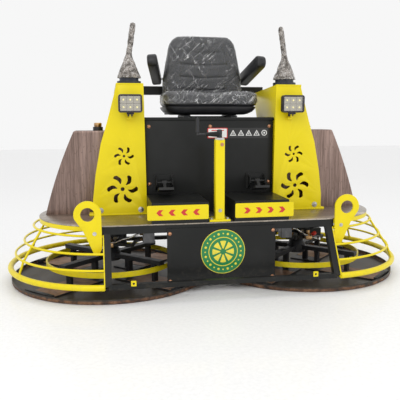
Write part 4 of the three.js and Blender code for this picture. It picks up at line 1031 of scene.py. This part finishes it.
class TROWEL_OT_seat(bpy.types.Operator):
    """Seat cushion, backrest, their film, the moulded shell and the armrests"""
    bl_idname = "trowel.seat"
    bl_label = "Seat"

    def execute(self, context):
        self.cushion()
        self.backrest()
        self.shell()
        self.armrests()
        return {"FINISHED"}

    def cover(self, ob, name, node, slot_name, carve, fill):
        """Swells, sews and finishes one upholstered piece."""
        swollen(ob, sizes().swell)
        ob.name = ob.data.name = name
        me = ob.data
        for v, normal in zip(me.vertices, [n.vector.copy() for n in me.vertex_normals]):
            v.co -= normal * carve(v.co, normal)
        low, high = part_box(node)
        for v in me.vertices:
            v.co = Vector(min(max(c, a - 0.004), b + 0.004) for c, a, b in zip(v.co, low, high))
        me.materials.clear()
        me.materials.append(material("vinyl"))
        me.polygons.foreach_set("use_smooth", [True] * len(me.polygons))
        finer = ob.modifiers.new("fine", "SUBSURF")
        finer.levels = finer.render_levels = 1
        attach(ob, "seat")
        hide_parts(node)
        return ob

    def film_over(self, source, name, lift, keep):
        """Loose clear film lying over part of a cushion."""
        bm = bmesh.new()
        bm.from_mesh(source.data)
        away = [f for f in bm.faces if not keep(f.calc_center_median(), f.normal)]
        bmesh.ops.delete(bm, geom=away, context="FACES")
        bm.normal_update()
        spots = [(v, v.normal.copy()) for v in bm.verts]
        for v, normal in spots:
            x, y, z = v.co
            ripple = noise.noise((x * 19 + z * 11, y * 12, z * 5 - x * 4))
            v.co += normal * (lift + 0.0035 * max(0.0, ripple))
        me = bpy.data.meshes.new(name)
        bm.to_mesh(me)
        bm.free()
        me.materials.append(material("seat_film"))
        me.polygons.foreach_set("use_smooth", [True] * len(me.polygons))
        ob = bpy.data.objects.new(name, me)
        bpy.context.scene.collection.objects.link(ob)
        thick = ob.modifiers.new("thick", "SOLIDIFY")
        thick.thickness, thick.offset = 0.0003, 1.0
        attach(ob, "seat")
        return ob

    def cushion(self):
        low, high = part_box("seat_cushion")
        inset = 0.004
        outline = round_rect(low.x + inset, high.x - inset, low.y + inset, high.y - inset, 0.060, 10)
        bm = sheet(outline, "xy", (low.z + high.z) / 2, high.z - low.z - 0.004, edge=0.020)
        ob = remeshed(bm, 0.006, "seat_cushion_look")
        mid = (low.x + high.x) / 2
        depth = sizes().seam

        def carve(co, normal):
            up = max(0.0, normal.z)
            x = abs(co.x - mid)
            side = groove(x - 0.148, 0.0055)
            dish = 0.010 * up * max(0.0, 1 - (x / 0.145) ** 2)
            inside = 1.0 if x < 0.148 else 0.0
            rows = max(groove(co.y - y, 0.0055) for y in (-0.045, 0.020, 0.085)) * inside
            welt = groove(co.z - (high.z - 0.024), 0.004) * (1 - up)
            low_welt = groove(co.z - (low.z + 0.014), 0.004) * (1 - up)
            crease = 0.0012 * noise.noise(co * 34.0)
            return depth * (side * up + rows * up * 0.75 + welt * 0.5 + low_welt * 0.4) + dish + crease

        self.cover(ob, "seat_cushion_look", "seat_cushion", "vinyl", carve, 0.9)
        self.film_over(ob, "cushion_film", 0.0025,
                       lambda c, n: c.z > low.z + 0.012 and (n.y < 0.2 or n.z > 0.3) and c.y < 0.15)

    def backrest(self):
        low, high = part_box("seat_backrest")
        mid = (low.x + high.x) / 2
        base = low.z
        half = [(0.206, 0.020), (0.208, 0.092), (0.201, 0.160), (0.188, 0.230), (0.173, 0.300),
                (0.165, 0.326), (0.154, 0.343), (0.136, 0.355), (0.100, 0.3595), (0.050, high.z - base)]
        right = [(mid + x - 0.003, base + z - 0.003) for x, z in half]
        left = [(mid - x + 0.003, base + z - 0.003) for x, z in reversed(half)]
        outline = [(mid + 0.190, base + 0.003)] + right + left + [(mid - 0.190, base + 0.003)]
        bm = sheet(outline, "xz", (low.y + high.y) / 2, high.y - low.y - 0.004, edge=0.020)
        ob = remeshed(bm, 0.006, "seat_backrest_look")
        depth = sizes().seam

        def carve(co, normal):
            front = max(0.0, -normal.y)
            x, z = abs(co.x - mid), co.z - base
            line = 0.128 - 0.055 * max(0.0, (z - 0.20) / 0.14) ** 2 if z > 0.20 else 0.128
            side = groove(x - line, 0.006)
            inside = 1.0 if x < line else 0.0
            bow = 0.006 * (x / 0.12) ** 2
            rows = max(groove(z - h - bow, 0.006) for h in (0.085, 0.150, 0.215, 0.280)) * inside
            dish = 0.008 * front * max(0.0, 1 - (x / 0.13) ** 2)
            welt = groove(co.y - (low.y + 0.020), 0.004) * (1 - front)
            crease = 0.001 * noise.noise(co * 30.0)
            return depth * (side * front + rows * front * 0.8 + welt * 0.5) + dish + crease

        self.cover(ob, "seat_backrest_look", "seat_backrest", "vinyl", carve, 0.9)
        self.film_over(ob, "backrest_film", 0.002, lambda c, n: n.y < 0.1 and c.z > base + 0.02)

    def shell(self):
        low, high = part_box("seat_shell")
        cushion_low, cushion_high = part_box("seat_cushion")
        mid = (cushion_low.x + cushion_high.x) / 2
        pan_low, pan_high = 0.801, 0.841
        shell = Piece("black_plastic", "cast_metal", "zinc")
        bm = bmesh.new()
        x0, x1 = cushion_low.x + 0.004, cushion_high.x - 0.004
        levels = [(pan_low, 0.052, 0.030), (pan_low + 0.004, 0.036, 0.034), (pan_low + 0.014, 0.016, 0.040),
                  (pan_low + 0.028, 0.004, 0.044), (pan_high - 0.003, 0.0, 0.045), (pan_high, 0.003, 0.045)]
        rings = []
        for z, inset, r in levels:
            points = round_rect(x0 + inset, x1 - inset, -0.086 + inset, 0.250 - inset * 0.5, r, 8)
            rings.append([bm.verts.new((a, b, z)) for a, b in points])
        bm.faces.new(rings[0])
        bm.faces.new(rings[-1])
        for under, over in zip(rings, rings[1:]):
            for i in range(len(under)):
                j = (i + 1) % len(under)
                bm.faces.new((under[i], under[j], over[j], over[i]))
        bmesh.ops.remove_doubles(bm, verts=bm.verts, dist=1e-6)
        bmesh.ops.recalc_face_normals(bm, faces=bm.faces)
        shell.add(bm)
        shell.add(cube((mid - 0.2, 0.2424, pan_low + 0.002), (mid + 0.2, 0.250, 0.8654), 0.002))
        back_low, back_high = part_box("seat_backrest")
        base = back_low.z
        half = [(0.209, 0.022), (0.209, 0.092), (0.202, 0.162), (0.189, 0.232), (0.173, 0.302),
                (0.164, 0.330), (0.150, 0.349), (0.122, 0.359), (0.060, back_high.z - base)]
        right = [(mid + x, base + z) for x, z in half]
        left = [(mid - x, base + z) for x, z in reversed(half)]
        shell.add(sheet([(mid + 0.209, base)] + right + left + [(mid - 0.209, base)], "xz", 0.2464, 0.008,
                        edge=0.002))
        for way in (-1, 1):
            x = mid + way * 0.118
            shell.add(cube((x - 0.022, 0.0, low.z), (x + 0.022, 0.150, pan_low + 0.002), 0.002), 1)
            ends = sorted((mid + way * 0.180, low.x if way < 0 else high.x))
            pin = [(end, 0.2504, 0.9934) for end in ends]
            shell.add(rod(*pin, 0.006, sides=24, bevel=0.001), 2)
        shell.done("seat_shell_look", "seat", "black_plastic", ["seat_shell"])

    def armrests(self):
        for side, way in (("right", 1), ("left", -1)):
            pivot = Vector((0.014 + way * 0.240, 0.2504, 0.9934))
            place = (Matrix.Translation(pivot) @ Matrix.Rotation(math.radians(-22), 4, "X")
                     @ Matrix.Rotation(way * math.radians(11), 4, "Z"))
            pad = Piece("black_plastic", "zinc")
            outline = round_rect(-0.205 - 0.0175, 0.0175, -0.0225, 0.0225, 0.0185, 8)
            bm = sheet(outline, "yz", 0.0, 0.049, edge=0.010)
            bm.transform(place)
            pad.add(bm)
            cap = [pivot + Vector((way * out, 0, 0)) for out in (0.024, 0.0275)]
            pad.add(rod(*cap, 0.009, sides=24, bevel=0.0008), 1)
            pad.done(f"armrest_{side}_look", f"armrest_{side}", "black_plastic", [f"armrest_{side}"])


# ---- Joysticks and pedals ------------------------------------------------------------------------
class TROWEL_OT_sticks(bpy.types.Operator):
    """Joystick bases, ringed boots, levers and their packing film"""
    bl_idname = "trowel.sticks"
    bl_label = "Joysticks"

    def execute(self, context):
        kept("cast_metal", "joystick_lever", bevel=0.0006)
        kept("navy", "joystick_base", bevel=0.0012)
        x, y, lean_z = 0.388, -0.050, 1.074
        lean = (Matrix.Translation((x, 0, lean_z)) @ Matrix.Rotation(math.radians(-9), 4, "Y")
                @ Matrix.Translation((-x, 0, -lean_z)))
        rings = [(0.0420, 0.985)]
        for k in range(7):
            z, r = 0.986 + 0.0118 * k, 0.0440 - 0.0046 * k
            rings += [(r - 0.0035, z), (r, z + 0.004), (r - 0.001, z + 0.008)]
        rings += [(0.008, 1.070), (0.0055, 1.070), (0.0055, 0.985)]
        boot = Piece("boot")
        boot.add(turned(rings, (x, y, 0), 40, True))
        boot.twins("joystick_boot", "stick", "black_plastic", [])
        skin = [(57, 974), (55, 984), (52, 990), (44, 1010), (36, 1030), (27, 1052), (19, 1070), (16, 1080),
                (14.5, 1088), (14.0, 1100), (13.4, 1120), (14.2, 1140), (13.2, 1160), (14.2, 1180),
                (13.6, 1200), (13.8, 1218), (11.5, 1228), (6, 1233)]
        fine = []
        for (ra, za), (rb, zb) in zip(skin, skin[1:]):
            steps = max(1, round((zb - za) / 3.0))
            fine += [((ra + (rb - ra) * i / steps) / 1000, (za + (zb - za) * i / steps) / 1000)
                     for i in range(steps)]
        fine.append((0.0, 1.2345))
        bm = turned(fine, (x, y, 0), 72)
        depth = sizes().film
        for v in bm.verts:
            low = v.co.z < lean_z
            axis = Vector((x, y, v.co.z))
            out = v.co - axis
            turn = math.atan2(out.y, out.x)
            swirl = turn * 3 + v.co.z * (70 if low else 150)
            round_it = Vector((math.cos(turn), math.sin(turn), v.co.z * 28))
            fold = math.sin(swirl) * 0.35 + noise.noise(round_it * 1.9)
            scale = depth if low else depth * 0.55
            if out.length > 1e-6:
                grow = scale * min(0.0, fold - 0.25)
                v.co = axis + out.normalized() * max(0.0045, out.length + grow)
            if v.co.z > lean_z:
                v.co = lean @ v.co
        film_piece = Piece("clear_film")
        film_piece.add(bm)
        for ob in film_piece.twins("joystick_wrap", "stick", "clear_film", ["joystick_wrap"], sharp=180):
            thick = ob.modifiers.new("thick", "SOLIDIFY")
            thick.thickness, thick.offset = 0.0004, -1.0
        return {"FINISHED"}


class TROWEL_OT_pedals(bpy.types.Operator):
    """Foot pedals, which keep their CAD shape"""
    bl_idname = "trowel.pedals"
    bl_label = "Pedals"

    def execute(self, context):
        kept("rubber", "pedal", bevel=0.0015)
        return {"FINISHED"}


# ---- Rotors --------------------------------------------------------------------------------------
class TROWEL_OT_rotors(bpy.types.Operator):
    """Stabiliser rings, spiders and float pans"""
    bl_idname = "trowel.rotors"
    bl_label = "Rotors"

    def execute(self, context):
        kept("cast_metal", "rotor_spider", bevel=0.002)
        s = sizes()
        tops = Piece("blade_rust")
        for k in range(4):
            top = cube((0.170, -0.0735, 0.0100), (0.4435, 0.0735, 0.0116), 0.0005, 1)
            tops.add(self.quarter(top, k))
        tops.twins("blade_tops", "rotor", "black_paint", [])
        low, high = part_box("stabiliser_ring_right")
        r = (high.x - low.x) / 2
        c = (s.rotor_x, 0, 0)
        ring = Piece("yellow_paint")
        ring.add(turned([(r, low.z + 0.001), (r, high.z - 0.001), (r - 0.001, high.z), (r - 0.007, high.z),
                         (r - 0.008, high.z - 0.001), (r - 0.008, low.z + 0.001), (r - 0.007, low.z),
                         (r - 0.001, low.z)], c, 160, True))
        ring.twins("stabiliser_ring", "rotor", "yellow_paint", ["stabiliser_ring"])
        low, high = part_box("float_pan_right")
        r = (high.x - low.x) / 2
        lip, t = 0.022, 0.004
        pan = Piece("pan_steel", "cast_metal")
        pan.add(turned([(0, 0), (r - 0.006, 0), (r - 0.003, 0.001), (r - 0.001, 0.003), (r, 0.006),
                        (r, lip - 0.001), (r - 0.001, lip), (r - t + 0.001, lip), (r - t, lip - 0.001),
                        (r - t, 0.008), (r - t - 0.002, 0.0055), (r - t - 0.004, t), (0, t)], c, 192))
        for k in range(4):
            clip = cube((r - 0.036, -0.089, t - 0.001), (r - 0.016, 0.089, t + 0.020), 0.0016)
            pan.add(self.quarter(clip, k), 1)
        pan.twins("float_pan", "rotor", "pan_steel", ["float_pan"])
        return {"FINISHED"}

    def quarter(self, bm, k):
        """Turns a shape drawn along X to one of the rotor's four arms."""
        turn = Matrix.Rotation(math.pi / 4 + k * math.pi / 2, 4, "Z")
        bm.transform(Matrix.Translation((sizes().rotor_x, 0, 0)) @ turn)
        return bm


# ---- Stage ---------------------------------------------------------------------------------------
class TROWEL_OT_lines(bpy.types.Operator):
    """Hydraulic block, valve and lines in each drive bay, and the lug on the front rail"""
    bl_idname = "trowel.lines"
    bl_label = "Drive lines"

    def execute(self, context):
        lines = Piece("engine_alloy", "brass", "zinc", "rubber", "red_mark", "shiny_steel")
        lines.add(cube((0.300, -0.318, 0.222), (0.352, -0.268, 0.279), 0.002))
        for z in (0.236, 0.262):
            lines.add(rod((0.352, -0.290, z), (0.366, -0.290, z), 0.008, sides=6, bevel=0.0006), 1)
        pipe = [(0.364, -0.290, 0.262), (0.385, -0.287, 0.256), (0.410, -0.262, 0.238),
                (0.440, -0.215, 0.222), (0.470, -0.175, 0.200), (0.492, -0.160, 0.196)]
        low_line = [(0.364, -0.290, 0.236), (0.384, -0.280, 0.228), (0.396, -0.240, 0.200),
                    (0.420, -0.180, 0.185), (0.450, -0.140, 0.195), (0.470, -0.118, 0.205)]
        high_line = [(0.325, -0.270, 0.250), (0.330, -0.220, 0.238), (0.360, -0.165, 0.245),
                     (0.410, -0.140, 0.262), (0.470, -0.120, 0.262)]
        lines.add(tube(pipe, 0.0045), 5)
        lines.add(tube(low_line, 0.0085), 3)
        lines.add(tube(high_line, 0.0085), 3)
        lines.add(cube((0.484, -0.162, 0.172), (0.514, -0.1155, 0.200), 0.002), 1)
        lines.add(rod((0.499, -0.140, 0.198), (0.499, -0.140, 0.218), 0.009, sides=6, bevel=0.0006), 1)
        lines.add(rod((0.512, -0.140, 0.182), (0.552, -0.146, 0.172), 0.0065, sides=20, bevel=0.0006), 5)
        lines.add(rod((0.548, -0.145, 0.173), (0.562, -0.147, 0.170), 0.0105, sides=6, bevel=0.0006), 5)
        lines.add(rod((0.505, -0.161, 0.192), (0.512, -0.178, 0.205), 0.004, sides=16), 2)
        lines.add(rod((0.511, -0.176, 0.204), (0.518, -0.192, 0.214), 0.0105, 0.0095, 20, 0.0012), 4)
        for x, z in ((0.472, 0.205), (0.472, 0.262)):
            lines.add(rod((x - 0.012, -0.122, z), (x + 0.010, -0.118, z), 0.0115, sides=6, bevel=0.0006), 2)
        lines.twins("drive_lines", "machine", "black_paint", [])
        lug = Piece("yellow_paint")
        lug.add(sheet(round_rect(0.396, 0.418, 0.078, 0.101, 0.002), "xz", -0.4893, 0.004,
                      [arc(0.407, 0.089, 0.0055, 0, 345, 23)], 0.0004))
        lug.twins("rail_lug", "machine", "yellow_paint", [])
        return {"FINISHED"}


class TROWEL_OT_stage(bpy.types.Operator):
    """Pale floor, soft lights and the camera"""
    bl_idname = "trowel.stage"
    bl_label = "Stage"

    def execute(self, context):
        me = bpy.data.meshes.new("floor")
        bm = bmesh.new()
        bmesh.ops.create_grid(bm, x_segments=1, y_segments=1, size=12.0)
        bm.transform(Matrix.Translation((0, 0, -0.001)))
        bm.to_mesh(me)
        bm.free()
        me.materials.append(material("floor"))
        floor = bpy.data.objects.new("floor", me)
        context.scene.collection.objects.link(floor)
        world = bpy.data.worlds.new("studio")
        world.use_nodes = True
        back = world.node_tree.nodes["Background"]
        back.inputs["Color"].default_value = (1.0, 1.0, 1.0, 1.0)
        back.inputs["Strength"].default_value = 0.93
        context.scene.world = world
        context.scene.view_settings.view_transform = "Standard"
        self.light("key", (-1.6, -3.2, 3.0), (0, 0, 0.4), 2.4, 34)
        self.light("fill", (2.8, -2.4, 1.7), (0, 0, 0.5), 2.0, 10)
        self.light("top", (0.2, 0.6, 3.4), (0, 0, 0.4), 3.0, 12)
        cam = bpy.data.cameras.new("camera")
        cam.lens, cam.sensor_width = 49.85, 36.0
        ob = bpy.data.objects.new("camera", cam)
        context.scene.collection.objects.link(ob)
        yaw, pitch = 0.1748, 0.1463
        ahead = Vector((math.sin(yaw) * math.cos(pitch), math.cos(yaw) * math.cos(pitch), -math.sin(pitch)))
        turn = ahead.to_track_quat("-Z", "Y").to_matrix().to_4x4()
        place, roll = Matrix.Translation((-0.5251, -2.7772, 0.7825)), Matrix.Rotation(-0.0019, 4, "Z")
        ob.matrix_world = place @ turn @ roll
        context.scene.camera = ob
        return {"FINISHED"}

    def light(self, name, at, to, size, watts):
        data = bpy.data.lights.new(name, "AREA")
        data.shape, data.size, data.energy = "DISK", size, watts
        ob = bpy.data.objects.new(name, data)
        bpy.context.scene.collection.objects.link(ob)
        ob.location = at
        ob.rotation_euler = (Vector(to) - Vector(at)).to_track_quat("-Z", "Y").to_euler()


OPERATORS = (TROWEL_OT_frame, TROWEL_OT_deck, TROWEL_OT_guards, TROWEL_OT_eyes, TROWEL_OT_hood,
             TROWEL_OT_steps, TROWEL_OT_column, TROWEL_OT_towers, TROWEL_OT_lamps, TROWEL_OT_tanks,
             TROWEL_OT_seat, TROWEL_OT_sticks, TROWEL_OT_pedals, TROWEL_OT_rotors, TROWEL_OT_lines,
             TROWEL_OT_stage)


class TROWEL_PT_panel(bpy.types.Panel):
    """Sizes, colours and one button for each group of pieces"""
    bl_label = "Power trowel"
    bl_idname = "TROWEL_PT_panel"
    bl_space_type = "VIEW_3D"
    bl_region_type = "UI"
    bl_category = "Trowel"

    def draw(self, context):
        for group in (context.scene.trowel_sizes, context.scene.trowel_colours):
            box = self.layout.box()
            for name in group.__annotations__:
                box.prop(group, name)
        for operator in OPERATORS:
            self.layout.operator(operator.bl_idname)


CLASSES = (TrowelSizes, TrowelColours, *OPERATORS, TROWEL_PT_panel)


def register():
    for one in CLASSES:
        bpy.utils.register_class(one)
    bpy.types.Scene.trowel_sizes = PointerProperty(type=TrowelSizes)
    bpy.types.Scene.trowel_colours = PointerProperty(type=TrowelColours)


def unregister():
    del bpy.types.Scene.trowel_colours
    del bpy.types.Scene.trowel_sizes
    for one in reversed(CLASSES):
        bpy.utils.unregister_class(one)


def main():
    register()
    for operator in OPERATORS:
        group, name = operator.bl_idname.split(".")
        getattr(getattr(bpy.ops, group), name)()
    bpy.context.view_layer.update()


if __name__ == "__main__":
    main()
